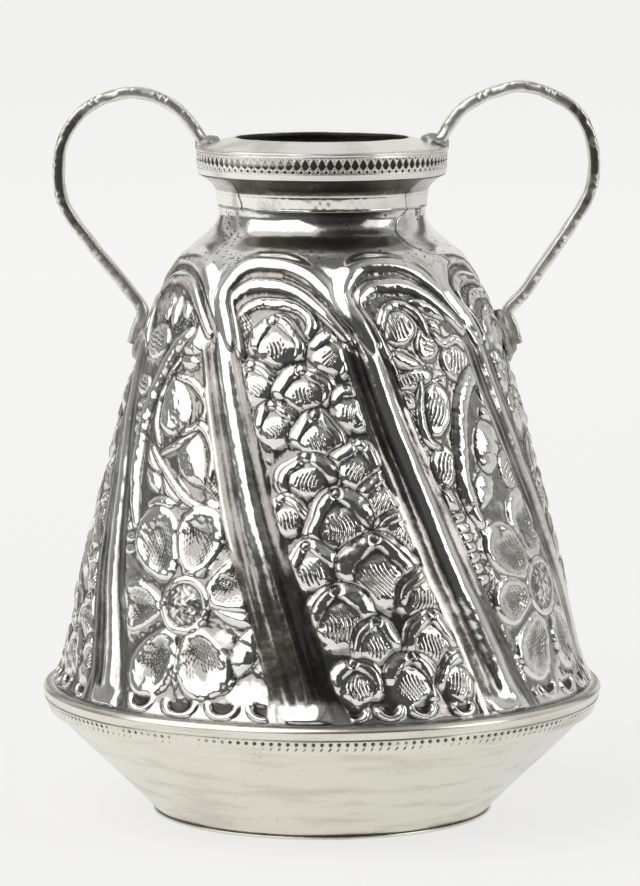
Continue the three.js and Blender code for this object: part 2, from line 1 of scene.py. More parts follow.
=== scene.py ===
import bpy
import math
import numpy as np
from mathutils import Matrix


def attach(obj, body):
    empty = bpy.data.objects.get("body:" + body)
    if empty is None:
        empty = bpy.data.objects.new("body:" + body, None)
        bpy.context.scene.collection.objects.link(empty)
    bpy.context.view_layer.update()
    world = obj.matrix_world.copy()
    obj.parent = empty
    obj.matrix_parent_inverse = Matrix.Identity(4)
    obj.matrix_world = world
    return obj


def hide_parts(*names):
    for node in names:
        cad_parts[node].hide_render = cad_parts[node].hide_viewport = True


# A two-handled silver vase, raised, chased and soldered by hand. All shapes are worked out in
# millimetres and made in metres. +Z is up, the front faces -Y, and angles grow from the front
# towards +X.
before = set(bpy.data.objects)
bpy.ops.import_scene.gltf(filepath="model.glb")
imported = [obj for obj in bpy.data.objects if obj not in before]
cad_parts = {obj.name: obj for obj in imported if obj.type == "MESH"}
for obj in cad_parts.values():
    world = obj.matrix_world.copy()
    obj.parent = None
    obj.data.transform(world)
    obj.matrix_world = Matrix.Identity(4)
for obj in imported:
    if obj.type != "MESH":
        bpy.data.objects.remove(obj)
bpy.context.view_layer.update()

# Camera: nearly a metre from the axis, just above the rim, looking down by 7.1 degrees through a long
# lens, on a frame as tall as the photograph.
PHOTO_HEIGHT = 886
FOCAL_PIXELS = 4750.0
CAMERA_PITCH = math.radians(7.1)
CAMERA_DISTANCE = 0.95
AIM_HEIGHT = 0.07376
ASIDE = -0.0004
camera_data = bpy.data.cameras.new("camera")
camera_data.sensor_width = 36.0
camera_data.lens = 36.0 * FOCAL_PIXELS / PHOTO_HEIGHT
camera_data.clip_start = 0.01
camera = bpy.data.objects.new("camera", camera_data)
camera.location = (ASIDE, -CAMERA_DISTANCE * math.cos(CAMERA_PITCH),
                   AIM_HEIGHT + CAMERA_DISTANCE * math.sin(CAMERA_PITCH))
camera.rotation_euler = (math.pi / 2 - CAMERA_PITCH, 0, 0)
bpy.context.scene.collection.objects.link(camera)
bpy.context.scene.camera = camera
bpy.context.scene.view_settings.view_transform = "Standard"


def add_node(tree, kind, values=None, **settings):
    """One shader node, with its settings and with its inputs set or linked."""
    made = tree.nodes.new("ShaderNode" + kind)
    for key, value in settings.items():
        setattr(made, key, value)
    for key, value in (values or {}).items():
        socket = made.inputs[key]
        if isinstance(value, bpy.types.NodeSocket):
            tree.links.new(value, socket)
        else:
            socket.default_value = value
    return made


def calc(tree, operation, first, second=0.0, third=0.0):
    """The output of one math node."""
    made = add_node(tree, "Math", {0: first, 1: second, 2: third}, operation=operation)
    return made.outputs[0]


def spread(tree, value, low, high, new_low=0.0, new_high=1.0, curve="LINEAR"):
    """The range of a value from low to high, spread over a new range and held at its ends."""
    return add_node(tree, "MapRange", {
        "Value": value, "From Min": low, "From Max": high, "To Min": new_low, "To Max": new_high},
        interpolation_type=curve).outputs[0]


def mix(tree, factor, first, second):
    """One colour mixed with another."""
    made = add_node(tree, "Mix", data_type="RGBA")
    for socket, value in ((made.inputs[0], factor), (made.inputs[6], first), (made.inputs[7], second)):
        if isinstance(value, bpy.types.NodeSocket):
            tree.links.new(value, socket)
        else:
            socket.default_value = (*value, 1) if isinstance(value, tuple) else value
    return made.outputs[2]


# Studio: a pale sweep behind and at the sides, a dark room in front, where the photographer
# stands, and a dim ceiling. The metal mirrors it; the camera itself sees only the pale sweep.
PALE = (0.872, 0.876, 0.872)
world = bpy.data.worlds.new("studio")
bpy.context.scene.world = world
world.use_nodes = True
sky = world.node_tree
sky.nodes.clear()
heading = add_node(sky, "SeparateXYZ",
                   {0: add_node(sky, "TexCoord").outputs["Generated"]})
azimuth = calc(sky, "ARCTAN2", heading.outputs[0], calc(sky, "MULTIPLY", heading.outputs[1], -1.0))
around = calc(sky, "MULTIPLY_ADD", azimuth, 0.5 / math.pi, 0.5)
elevation = calc(sky, "MULTIPLY", calc(sky, "ARCSINE", heading.outputs[2]), 180 / math.pi)


def by_azimuth(stops):
    """Grey tones of the room at angles from the front, in degrees, towards +X."""
    made = add_node(sky, "ValToRGB", {"Fac": around})
    elements = made.color_ramp.elements
    while len(elements) < len(stops):
        elements.new(0.5)
    for element, (angle, tone) in zip(elements, stops):
        element.position = (angle + 180) / 360
        element.color = (tone, tone, tone, 1)
    return made.outputs[0]


low_room = by_azimuth([
    (-180, 0.80), (-158, 0.78), (-152, 0.16), (-146, 0.16), (-140, 0.62), (-125, 0.34), (-100, 0.26),
    (-62, 0.20), (-40, 0.12), (-12, 0.08), (52, 0.07), (80, 0.14), (94, 0.42), (116, 0.56),
    (134, 0.70), (142, 0.14), (150, 0.14), (156, 0.80)])
high_room = by_azimuth([
    (-180, 0.66), (-130, 0.66), (-100, 0.54), (-70, 0.36), (-35, 0.28), (0, 0.32), (42, 0.26),
    (62, 0.46), (95, 0.66), (130, 0.66)])
walls = mix(sky, spread(sky, elevation, 28.0, 46.0), low_room, high_room)
room = mix(sky, spread(sky, elevation, 60.0, 76.0), walls, (0.15, 0.15, 0.147))
ray = add_node(sky, "LightPath")
seen = calc(sky, "MAXIMUM", ray.outputs["Is Camera Ray"], ray.outputs["Is Transmission Ray"])
add_node(sky, "OutputWorld", {"Surface": add_node(
    sky, "Background", {"Color": mix(sky, seen, room, PALE)}).outputs[0]})


def softbox(name, heading_degrees, rise_degrees, distance, width, height, radiance):
    """A rectangular lamp that faces the neck of the vase from a heading and a rise."""
    lamp = bpy.data.lights.new(name, "AREA")
    lamp.shape = "RECTANGLE"
    lamp.size = width
    lamp.size_y = height
    lamp.energy = radiance * math.pi * width * height
    lamp.color = (1.0, 0.985, 0.96)
    held = bpy.data.objects.new(name, lamp)
    turn = math.radians(heading_degrees)
    rise = math.radians(rise_degrees)
    held.location = (distance * math.cos(rise) * math.sin(turn),
                     -distance * math.cos(rise) * math.cos(turn), 0.1 + distance * math.sin(rise))
    held.rotation_euler = (math.pi / 2 - rise, 0, turn)
    bpy.context.scene.collection.objects.link(held)


softbox("softbox_left", -54, 44, 1.5, 2.1, 2.15, 1.25)
softbox("softbox_right", 67, 22, 1.5, 0.70, 0.9, 2.0)

# Floor: matt pale board under the vase, which ends a hand's length in front of it. A part of
# its tone comes from camera and glossy rays alone, so that it stays as pale as the sweep and still
# holds a soft shadow. The camera sees its far side a little brighter, and the metal its left side.
FLOOR_REACH = 6
FLOOR_FRONT = -0.42
FLOOR_HEIGHT = -0.00002
floor_mesh = bpy.data.meshes.new("floor")
corners = [(-FLOOR_REACH, FLOOR_FRONT), (FLOOR_REACH, FLOOR_FRONT),
           (FLOOR_REACH, FLOOR_REACH), (-FLOOR_REACH, FLOOR_REACH)]
floor_mesh.from_pydata([(x, y, FLOOR_HEIGHT) for x, y in corners], [], [[0, 1, 2, 3]])
floor = bpy.data.objects.new("floor", floor_mesh)
bpy.context.scene.collection.objects.link(floor)
board = bpy.data.materials.new("pale_board")
board.use_nodes = True
wood = board.node_tree
wood.nodes.clear()
floor_ray = add_node(wood, "LightPath")
floor_seen = calc(wood, "MAXIMUM", floor_ray.outputs["Is Camera Ray"], floor_ray.outputs["Is Glossy Ray"])
matt = add_node(wood, "BsdfDiffuse", {"Color": (0.90, 0.895, 0.88, 1)})
on_board = add_node(wood, "SeparateXYZ", {0: add_node(wood, "TexCoord").outputs["Object"]})
leftward = spread(wood, on_board.outputs[0], -0.3, 0.3, 0.17, -0.15)
farther = spread(wood, on_board.outputs[1], 0.1, 1.2, 0.10, 0.235)
plain_glow = calc(wood, "MULTIPLY_ADD", floor_ray.outputs["Is Camera Ray"], farther, 1.02)
glow = add_node(wood, "Emission", {
    "Color": (0.878, 0.878, 0.870, 1),
    "Strength": calc(wood, "MULTIPLY_ADD", floor_ray.outputs["Is Glossy Ray"], leftward, plain_glow)})
blended = add_node(wood, "MixShader", {
    0: calc(wood, "MULTIPLY", floor_seen, 0.70), 1: matt.outputs[0], 2: glow.outputs[0]})
add_node(wood, "OutputMaterial", {"Surface": blended.outputs[0]})
floor_mesh.materials.append(board)

# Base plate: a flat disc of sheet silver, 0.6 mm thick, soldered under the bowl and hardly wider. Only
# its edge shows, as a thin line with a dark solder joint above it.
PLATE_RADIUS, PLATE_TOP = 34.1, 0.6


def silver(name, colour, roughness, oxide_and_painted_shade, tarnish, specks, scratch, scratch_depth,
           wave_depth=0.03, wave_scale=0.16, drawn=(1.0, 1.0, 1.0)):
    """Old silver. Broad faint tarnish, dark specks, fine scratches and a beaten unevenness lie
    all over; the vertex value "hollow" turns the metal dark and dull: oxide where polish never
    reaches, and painted shade where a piece carries it, on the neck, the collar's flare and the handles'
    flanks.
    scratch and drawn say how much finer the scratches and the tarnish are along X, Y and Z."""
    material = bpy.data.materials.new(name)
    material.use_nodes = True
    tree = material.node_tree
    tree.nodes.clear()
    place = add_node(tree, "TexCoord").outputs["Object"]
    millimetres = add_node(tree, "VectorMath", {0: place, "Scale": 1000.0},
                           operation="SCALE").outputs[0]

    def noise(scale, detail, vector=millimetres, rough=0.55, distort=0.0):
        """A noise whose scale counts its waves per millimetre."""
        return add_node(tree, "TexNoise", {
            "Vector": vector, "Scale": scale, "Detail": detail, "Roughness": rough,
            "Distortion": distort}).outputs["Fac"]

    def step(value, low, high):
        """0 below low, 1 above high, and an S curve between."""
        return spread(tree, value, low, high, curve="SMOOTHSTEP")

    def stretched(by):
        """The place in millimetres, times a factor along each axis."""
        return add_node(tree, "VectorMath", {0: millimetres, 1: by}, operation="MULTIPLY").outputs[0]

    drawn_out = stretched(drawn)
    patches = calc(tree, "MULTIPLY", step(noise(0.10, 6.0, drawn_out), 0.46, 0.68), tarnish)
    speckled = calc(tree, "MULTIPLY", step(noise(0.21, 3.0, drawn_out), 0.42, 0.62), specks)
    pepper = calc(tree, "MULTIPLY", step(noise(1.9, 3.0, rough=0.7), 0.66, 0.74), speckled)
    # The vertex value: oxide in the hollows, and painted shade on some pieces
    own = add_node(tree, "Attribute", attribute_name="oxide_and_painted_shade").outputs["Fac"]
    mottle = calc(tree, "MULTIPLY", calc(tree, "SUBTRACT", noise(1.1, 5.0, rough=0.7), 0.5), 0.42)
    mottle = calc(tree, "MULTIPLY_ADD", calc(tree, "SUBTRACT", noise(0.22, 3.0), 0.5), 0.40, mottle)
    reach = calc(tree, "MULTIPLY", step(own, 0.03, 0.20), oxide_and_painted_shade)
    grimy = calc(tree, "ADD", own, mottle)
    film = calc(tree, "MULTIPLY", step(grimy, 0.14, 0.52), reach)
    dark = calc(tree, "MAXIMUM", calc(tree, "MULTIPLY", step(grimy, 0.58, 0.98), reach), pepper)
    tone = colour
    dull = calc(tree, "MULTIPLY_ADD", noise(0.35, 5.0), 0.10, roughness - 0.05)
    for cover, coat, duller in ((patches, (0.50, 0.445, 0.365), 0.14), (film, (0.385, 0.375, 0.350), 0.06),
                                (dark, (0.078, 0.070, 0.062), 0.14)):
        tone = mix(tree, cover, tone, coat)
        dull = calc(tree, "MULTIPLY_ADD", cover, duller, dull)
    height = calc(tree, "MULTIPLY", noise(1.0, 6.0, stretched(scratch), 0.65, 0.4), scratch_depth)
    height = calc(tree, "MULTIPLY_ADD", noise(wave_scale, 2.0), wave_depth, height)
    height = calc(tree, "MULTIPLY_ADD", dark, -0.012, height)
    bump = add_node(tree, "Bump", {"Height": height, "Distance": 0.001, "Strength": 1.0})
    shader = add_node(tree, "BsdfPrincipled", {
        "Base Color": tone, "Roughness": dull, "Metallic": 1.0, "Normal": bump.outputs[0]})
    add_node(tree, "OutputMaterial", {"Surface": shader.outputs[0]})
    return material


def make_piece(name, points, quads, rest, material, node, oxide_and_painted_shade, normals=None, crease=38):
    """One closed piece in millimetres: four-sided faces, then a few faces of any count. It stands
    for the CAD node, which it hides, rides on the one body, and takes the material it is given."""
    mesh = bpy.data.meshes.new(name)
    corner = np.concatenate([quads.ravel()] + [np.asarray(face) for face in rest]).astype(np.int32)
    sizes = np.concatenate([np.full(len(quads), 4), [len(face) for face in rest]]).astype(np.int32)
    mesh.vertices.add(len(points))
    mesh.vertices.foreach_set("co", (np.asarray(points) * 0.001).astype(np.float32).ravel())
    mesh.loops.add(len(corner))
    mesh.loops.foreach_set("vertex_index", corner)
    mesh.polygons.add(len(sizes))
    mesh.polygons.foreach_set("loop_start", (np.cumsum(sizes) - sizes).astype(np.int32))
    mesh.polygons.foreach_set("use_smooth", np.ones(len(sizes), bool))
    mesh.update(calc_edges=True)
    mesh.set_sharp_from_angle(angle=math.radians(crease))
    # Darkness of each point: oxide in the hollows, and painted shade on some pieces
    layer = mesh.attributes.new("oxide_and_painted_shade", "FLOAT", "POINT")
    layer.data.foreach_set("value", np.asarray(oxide_and_painted_shade, np.float32).ravel())
    if normals is not None:
        mesh.normals_split_custom_set_from_vertices(normals)
    mesh.materials.append(material)
    piece = bpy.data.objects.new(name, mesh)
    bpy.context.scene.collection.objects.link(piece)
    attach(piece, "root")
    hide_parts(node)


def rounded(outline, radius, steps=4):
    """A closed outline with each corner cut by a short arc, of at most a third of its sides."""
    outline = np.asarray(outline, float)
    soft = []
    for before, here, after in zip(np.roll(outline, 1, 0), outline, np.roll(outline, -1, 0)):
        back = before - here
        on = after - here
        start = here + back * min(radius / max(np.hypot(*back), 1e-9), 0.33)
        end = here + on * min(radius / max(np.hypot(*on), 1e-9), 0.33)
        for t in np.linspace(0, 1, steps):
            soft.append((1 - t) ** 2 * start + 2 * t * (1 - t) * here + t * t * end)
    return np.array(soft)


def at_angle(radius, turn, z):
    """Points at a radius, an angle in radians and a height."""
    return np.stack([radius * np.sin(turn), -radius * np.cos(turn), z], -1)


def turned_piece(name, outline, turns, change, material, node, crease=38):
    """A closed outline of radius and height turned about the axis: one ring of points for each
    outline point. change gives radius and height at all angles, and how dark the metal is, from
    oxide in its hollows and from painted shade."""
    outline = np.asarray(outline)
    angle = np.arange(turns) * 2 * math.pi / turns
    radius = np.repeat(outline[:, :1], turns, 1)
    height = np.repeat(outline[:, 1:], turns, 1)
    oxide_and_painted_shade = np.zeros_like(radius)
    if change:
        radius, height, oxide_and_painted_shade = change(radius, height, np.broadcast_to(angle, radius.shape))
    points = at_angle(radius, angle, height).reshape(-1, 3)
    row, column = np.meshgrid(np.arange(len(outline)), np.arange(turns), indexing="ij")
    up = (row + 1) % len(outline)
    on = (column + 1) % turns
    quads = np.stack([row * turns + column, row * turns + on, up * turns + on, up * turns + column], -1)
    make_piece(name, points, quads.reshape(-1, 4), [], material, node, oxide_and_painted_shade, crease=crease)


spun_silver = silver("spun_silver", (0.872, 0.846, 0.756), 0.24, oxide_and_painted_shade=0.9, tarnish=0.34, specks=2.4,
                     scratch=(0.5, 0.5, 6.0), scratch_depth=0.008, drawn=(0.55, 0.55, 3.6))
plate_edge = rounded([(2, 0), (PLATE_RADIUS, 0), (PLATE_RADIUS, PLATE_TOP), (2, PLATE_TOP)], 0.2)
turned_piece("base_disc", plate_edge, 256, None, spun_silver, "base_plate")

# Lower bowl: a spun cone of sheet silver with a slight swell, wiped bright, with faint streaks of
# tarnish and fine lines that run round it, and dark specks. Its foot stands on the base plate.
FOOT_RADIUS, SKIRT_RADIUS = 33.6, 53.6
BAND_FOOT, SKIRT_TOP = 20.8, 23.6


def bowl_radius(height):
    """A straight cone from foot to skirt, swollen above its middle and drawn in below it by a cubic."""
    share = (height - PLATE_TOP) / (BAND_FOOT - PLATE_TOP)
    return FOOT_RADIUS + (SKIRT_RADIUS - FOOT_RADIUS) * share + 4.4 * (share - 0.5) * share * (1 - share)


def unevenness(height, angle, size, seed):
    """Slow waves of a hand-worked shell: the sum of nine sines around and along it."""
    rng = np.random.default_rng(seed)
    total = np.zeros_like(height)
    for _ in range(9):
        around_count = rng.integers(1, 12)
        total += np.sin(around_count * angle + rng.uniform(-0.35, 0.35) * height + rng.uniform(0, 6.3))
    return total * size / 3


def near(value, place, width):
    """1 at a place, falling off to both sides by a bell curve of that width."""
    return np.exp(-((value - place) / width) ** 2)


def bowl_change(radius, height, angle):
    """Slow waves on the outside, and a dark joint at the foot."""
    outside = radius > bowl_radius(height) - 0.3
    waves = unevenness(height, angle, 0.07, 3) * outside
    return radius + waves, height, 0.9 * near(height, PLATE_TOP, 0.22) * outside


levels = np.linspace(PLATE_TOP, BAND_FOOT, 30)
bowl = np.concatenate([
    np.stack([bowl_radius(levels), levels], 1),
    [(SKIRT_RADIUS, SKIRT_TOP), (SKIRT_RADIUS - 1.0, SKIRT_TOP)],
    np.stack([bowl_radius(levels) - 1.25, levels], 1)[::-1]])
turned_piece("spun_bowl", bowl, 384, bowl_change, spun_silver, "lower_bowl")

# Waist band: a drawn strip that wraps the joint of bowl and body. Two rows of punch marks run
# along its sloping face, worn away in places, and a smooth bead with a dark line under it crowns it.
PUNCH_COUNT = 214
PUNCH_PITCH = 1.645
BODY_FOOT = 26.3


def band_change(radius, height, angle):
    """A row of round punch marks over a row of slanting dashes, both worn by a sum of sines."""
    out = (radius > 54.3).astype(float)
    punch = angle * PUNCH_COUNT / (2 * math.pi)
    slanted = punch - 0.35 * (height - 22.0)
    across = (punch - np.round(punch)) * PUNCH_PITCH
    slip = (slanted - np.round(slanted)) * PUNCH_PITCH
    wear = (np.sin(3 * angle + 0.8) + np.sin(7 * angle + 2.1)
            + 0.8 * np.sin(17 * angle) + 0.6 * np.sin(41 * angle))
    strong = np.clip(0.90 + 0.35 * wear, 0.15, 1)
    weak = np.clip(0.65 + 0.35 * np.roll(wear, 37, 1), 0.0, 1)
    row = np.clip(1 - (across / 0.50) ** 2 - ((height - 22.85) / 0.46) ** 2, 0, 1) * strong
    dash = np.clip(1 - (slip / 0.28) ** 2 - ((height - 21.80) / 0.50) ** 2, 0, 1) * weak
    line = near(height, 23.62, 0.13)
    upper = near(height, 26.25, 0.25) * (radius > 54.6)
    pits = np.maximum(row, 0.7 * dash)
    waves = unevenness(height, angle, 0.05, 5)
    sunk = out * (0.34 * pits + 0.20 * line)
    return radius - sunk + waves * out, height, out * np.clip(1.5 * pits + 0.9 * line + 0.8 * upper, 0, 1)


face = [(54.6 + 1.15 * t, BAND_FOOT + 2.75 * t) for t in np.linspace(0, 1, 24)]
crown = [(55.55 + 0.5 * math.sin(0.62 * math.pi * t + 0.1) - 3.15 * max(t - 0.45, 0) ** 2,
          23.75 + 2.55 * t) for t in np.linspace(0, 1, 16)]
turned_piece("punched_band", face + crown + [(53.75, BODY_FOOT), (53.75, BAND_FOOT)], PUNCH_COUNT * 8,
             band_change, spun_silver, "waist_band", crease=60)

# Body shell: one raised sheet, chased from the outside against pitch. Eight ribs lean round it and run
# up into nested arches, and panels of hooded scales take turns with panels of a flower, scrolls and
# leaves. It has so many faces that it is made here as eight pieces, which meet on the ribs' crests.
DEGREE = math.pi / 180
BODY_TOP = 121.4
OUTLINE = [(54.0, BODY_FOOT), (52.2, 30.0), (49.6, 40.0), (47.6, 50.0), (45.1, 60.0), (42.4, 70.0),
           (39.9, 80.0), (37.7, 88.0), (35.0, 98.0), (33.4, 102.3), (30.0, 108.0), (27.8, 111.6),
           (25.0, 114.3), (21.9, 117.0), (20.6, 119.4), (20.5, BODY_TOP)]
RIB_STARTS = [-95, -46, 0, 44, 89, 132, 175, 220, 265]
ARCH_TOP = 112.46
SEAT_HEIGHT = 97.0
ROWS = 430
COLUMNS = 198


def smooth(value, low, high):
    """0 below low, 1 above high, and an S curve between."""
    t = np.clip((value - low) / (high - low), 0, 1)
    return t * t * (3 - 2 * t)


def fade(value, low, high):
    """1 below low, 0 above high, and an S curve between."""
    return 1 - smooth(value, low, high)


def hump(value):
    """A parabola: 1 at 0, and 0 from 1 on to both sides."""
    return np.clip(1 - value ** 2, 0, 1)


def swirl(height):
    """Degrees that the ribs have turned at a height: a parabola, steeper towards the shoulder."""
    share = (height - BODY_FOOT) / (ARCH_TOP - BODY_FOOT)
    return 44.5 - 39.9 * (0.78 * share + 0.22 * share * share)


def curve_through(places, values, at):
    """A smooth curve through measured points: cubic pieces with slopes from their neighbours."""
    slopes = np.gradient(values, places)
    i = np.clip(np.searchsorted(places, at) - 1, 0, len(places) - 2)
    width = places[i + 1] - places[i]
    t = (at - places[i]) / width
    return ((2 * t ** 3 - 3 * t ** 2 + 1) * values[i] + (t ** 3 - 2 * t ** 2 + t) * width * slopes[i]
            + (3 * t ** 2 - 2 * t ** 3) * values[i + 1] + (t ** 3 - t ** 2) * width * slopes[i + 1])


table = np.array(OUTLINE)
fine_z = np.linspace(BODY_FOOT, BODY_TOP, 4001)
fine_r = curve_through(table[:, 1], table[:, 0], fine_z)
fine_s = np.concatenate([[0], np.cumsum(np.hypot(np.diff(fine_z), np.diff(fine_r)))])
level = np.interp(np.linspace(0, fine_s[-1], ROWS), fine_s, fine_z)
girth = np.interp(level, fine_z, fine_r)
run = np.interp(level, fine_z, fine_s)
PANELS = list(zip(RIB_STARTS, RIB_STARTS[1:]))
theta = np.concatenate([np.linspace(start, end, COLUMNS + 1)[:-1] for start, end in PANELS])
phi = theta[None, :] + swirl(level)[:, None]
GROUND = -0.34
relief = np.full(phi.shape, GROUND)
engraved = np.zeros(phi.shape)
calm = np.zeros(phi.shape)
soot = np.full(phi.shape, 0.58) + 0.22 * fade(level, 50, 76)[:, None]


def girth_at(height):
    """Radius of the plain sheet at a height."""
    return np.interp(height, fine_z, fine_r)


def turn_back(angle):
    """The same angle between -180 and 180 degrees."""
    return (angle + 180) % 360 - 180


def window(angle, height, reach, turn=0.0):
    """Rows and columns near a place, and their distances from it in millimetres along the sheet, as
    seen from axes that are turned by an angle."""
    middle = np.interp(height, fine_z, fine_s)
    low, high = np.searchsorted(run, [middle - reach, middle + reach])
    low, high = min(low, ROWS - 2), max(high, low + 2)
    half = reach / (DEGREE * girth[low:high].min()) + abs(swirl(level[low]) - swirl(level[high - 1]))
    columns = np.nonzero(np.abs(turn_back(theta - (angle - swirl(height)))) < half)[0]
    spot = np.ix_(np.arange(low, high), columns)
    across = turn_back(phi[spot] - angle) * DEGREE * girth[low:high, None]
    along = (run[low:high] - middle)[:, None]
    c, s = math.cos(turn * DEGREE), math.sin(turn * DEGREE)
    return spot, across * c + along * s, along * c - across * s


def lay(spot, form, cover, dark, cut=0.0):
    """The sheet takes on a form where that covers it, and with it the form's own cuts and soot."""
    relief[spot] += (form - relief[spot]) * cover
    engraved[spot] += (cut - engraved[spot]) * cover
    soot[spot] += (dark - soot[spot]) * cover


def cuts(phase, share=0.5):
    """Engraved lines, 1 in the cut and 0 between, one for each whole step of the phase."""
    return smooth(0.5 - 0.5 * np.cos(2 * math.pi * phase), 1 - share, 1.0)


HATCH_PITCH = 0.95


def oval(angle, height, long, wide, turn, rise, rim=0.0, hatch=""):
    """A raised oval: a parabola over the half sizes long and wide, with a rolled rim, engraved
    lines along or across it, and a black outline round it."""
    spot, u, v = window(angle, height, 1.25 * max(long, wide) + 0.5, turn)
    rho = np.hypot(u / long, v / wide)
    form = 0.05 + rise * hump(rho) + rim * near(rho, 0.86, 0.11)
    black = 0.25 * smooth(rho, 0.6, 0.98)
    cut = 0 * rho
    if hatch:
        lengthwise, crosswise = (u, v) if hatch == "along" else (v, u)
        slant = 0.25 * lengthwise + 0.12 * np.sin(1.7 * u + angle)
        cut = cuts((crosswise + slant) / HATCH_PITCH) * fade(rho, 0.58, 0.72)
        black = np.maximum(black, 0.85 * cut)
    edge = 0.45 / min(long, wide)
    form = np.where(rho < 1, form, GROUND)
    black = np.where(rho < 0.99, black, 0.9)
    lay(spot, form, fade(rho, 1 + 0.1 * edge, 1 + edge), black, 0.14 * cut)


def leaf(angle, height, long, wide, turn):
    """A leaf with a soft ridge: pointed at both ends, falling by a power of 1.4 from its ridge."""
    spot, u, v = window(angle, height, 1.2 * long + 0.5, turn)
    half = wide * np.clip(1 - (u / long) ** 2, 0.02, 1)
    q = np.abs(v + 0.15 * wide * np.sin(2.2 * u / long)) / half
    form = 0.05 + 0.5 * (1 - np.clip(q, 0, 1) ** 1.4) * np.sqrt(half / wide)
    past = (q - 1) * half
    black = np.where(past < 0, 0.35 * smooth(q, 0.35, 0.95), 0.9)
    lay(spot, np.where(q < 1, form, GROUND), fade(past, 0.1, 0.55), black)


def petal(angle, height, long, wide, turn):
    """A scooped petal: it rises from its middle to a rounded rim by an S curve, and thin dashes
    fan out over the half that is nearer to the boss."""
    spot, u, v = window(angle, height, 1.2 * max(long, wide) + 0.5, turn)
    across_half = wide * (0.62 + 0.42 * smooth(u / long, -1.0, 0.35))
    rho = ((np.abs(u) / long) ** 2.3 + (np.abs(v) / across_half) ** 2.3) ** (1 / 2.3)
    form = -0.22 + 0.10 * np.cos(1.9 * v + angle) * (1 - rho)
    form += 0.78 * smooth(rho, 0.10, 0.90) - 0.55 * smooth(rho, 0.90, 1.08)
    fan = np.arctan2(v, u + 1.75 * long) * long * 1.9
    dash = 0.55 + 0.45 * np.cos(2 * math.pi * (u / 1.15 + 0.5 * np.floor(fan / 0.62)))
    cut = cuts(fan / 0.62, 0.6) * fade(rho, 0.60, 0.74) * fade(u / long, 0.25, 0.42) * dash
    black = np.maximum(0.36 * fade(rho, 0.62, 0.84) + 0.45 * cut, 0.7 * smooth(rho, 0.98, 1.04))
    edge = 0.5 / min(long, wide)
    lay(spot, np.where(rho < 1.06, form, GROUND), fade(rho, 1 + 0.3 * edge, 1 + edge), black, 0.10 * cut)


def bud(angle, height, size, lean, flat):
    """A hooded bud, laid over the ones above it: a domed oval with a few slanting cuts in its
    middle, a wide roll that bows over its top from a small knob, with one arm longer than the
    other and a crease along the longer one, and a slope below the dome."""
    size *= 1.14
    spot, u, v = window(angle, height, 1.6 * size * max(1, flat), lean)
    u, v = u / size, v / (size * flat) + 0.08
    turn = np.arctan2(u, v)
    side = np.abs(turn)
    longer = math.copysign(1.0, math.sin(2.3 * angle + height))
    end = 1.75 + 0.30 * longer * np.sign(u)
    wobble = 1 + 0.04 * np.sin(3 * turn + angle) + 0.03 * np.sin(5 * turn + height)
    rho = np.hypot(u, v) * wobble
    arm = fade(side, end - 0.25, end + 0.40)
    line = 0.86 + 0.20 * near(side, 0, 0.42) - 0.05 * near(side, 1.1, 0.4)
    half = 0.30 * (1 - 0.42 * smooth(side, 1.0, end + 0.3)) * (1 - 0.25 * near(side, 0, 0.3))
    d = (rho - line) / half
    crest = np.where(d < -0.45, (d + 0.45) / 0.55, (d + 0.45) / 1.45)
    roll = 0.04 + 0.64 * np.clip(1 - np.abs(crest) ** 1.7, 0, 1)
    crease = near(d, 0.35, 0.10) * arm * (longer * u > 0)
    slope = 0.22 - 0.66 * np.clip((rho - 0.60) / 0.46, 0, 1)
    slant = math.radians(8 + 20 * math.sin(1.3 * angle + height))
    bent = u * math.cos(slant) + v * flat * math.sin(slant) + 0.10 * np.sin(4 * v + angle)
    cut = cuts(bent * size / 0.74 + 0.3 * height, 0.55)
    patch = 0.54 - 0.17 * smooth(height, 60, 85)
    from_patch = np.hypot(u * 1.1, (v + 0.03) * 1.15) + 0.07 * np.sin(9 * turn + angle)
    cut = cut * fade(from_patch, patch - 0.1, patch)
    dome = 0.10 + 0.66 * hump(rho / 0.68) - 0.10 * v
    outside = roll * arm + slope * (1 - arm)
    form = np.where(d * half > half - 0.01, outside * (1 - arm) + GROUND * arm, outside)
    form = np.where(rho < 0.62, dome, form)
    black = np.where(rho < 0.62, 0.95 * cut, (0.75 * crease + 0.34 * smooth(d, -0.30, 0.3)) * arm)
    black = np.maximum(black, 0.8 * near(rho, 0.625, 0.03) * (0.3 + 0.7 * arm))
    black = np.maximum(black, 0.95 * (d > 0.97) * arm + 0.85 * smooth(rho, 0.90, 1.06) * (1 - arm))
    limit = (line + half + 0.40 / size) * arm + 1.08 * (1 - arm)
    lay(spot, form, smooth(limit - rho, 0, 0.35 / size), np.clip(black, 0, 1), 0.17 * cut + 0.10 * crease)
    peak = size * flat * 0.99
    knob_angle = angle - peak * math.sin(lean * DEGREE) / (DEGREE * girth_at(height))
    knob = 0.95 if height > 70 else 0.72
    oval(knob_angle, height + peak * math.cos(lean * DEGREE) * 0.97, knob, knob, 0, 0.5 * knob)


def scallop(angle, height, size, dish=True):
    """A half-round lip with a black dish above it."""
    spot, across, along = window(angle, height, 1.5 * size)
    rho = np.hypot(across, along * 1.25) / size
    low = fade(along / size, -0.05, 0.22)
    lip = 0.62 * hump((rho - 0.90) / 0.25)
    form = np.where(rho < 0.66, -0.45 if dish else 0.15, lip)
    black = np.where(rho < 0.68, 1.0 if dish else 0.2, smooth(rho, 1.06, 1.14))
    lay(spot, form, low * fade(rho, 1.1, 1.2), black)


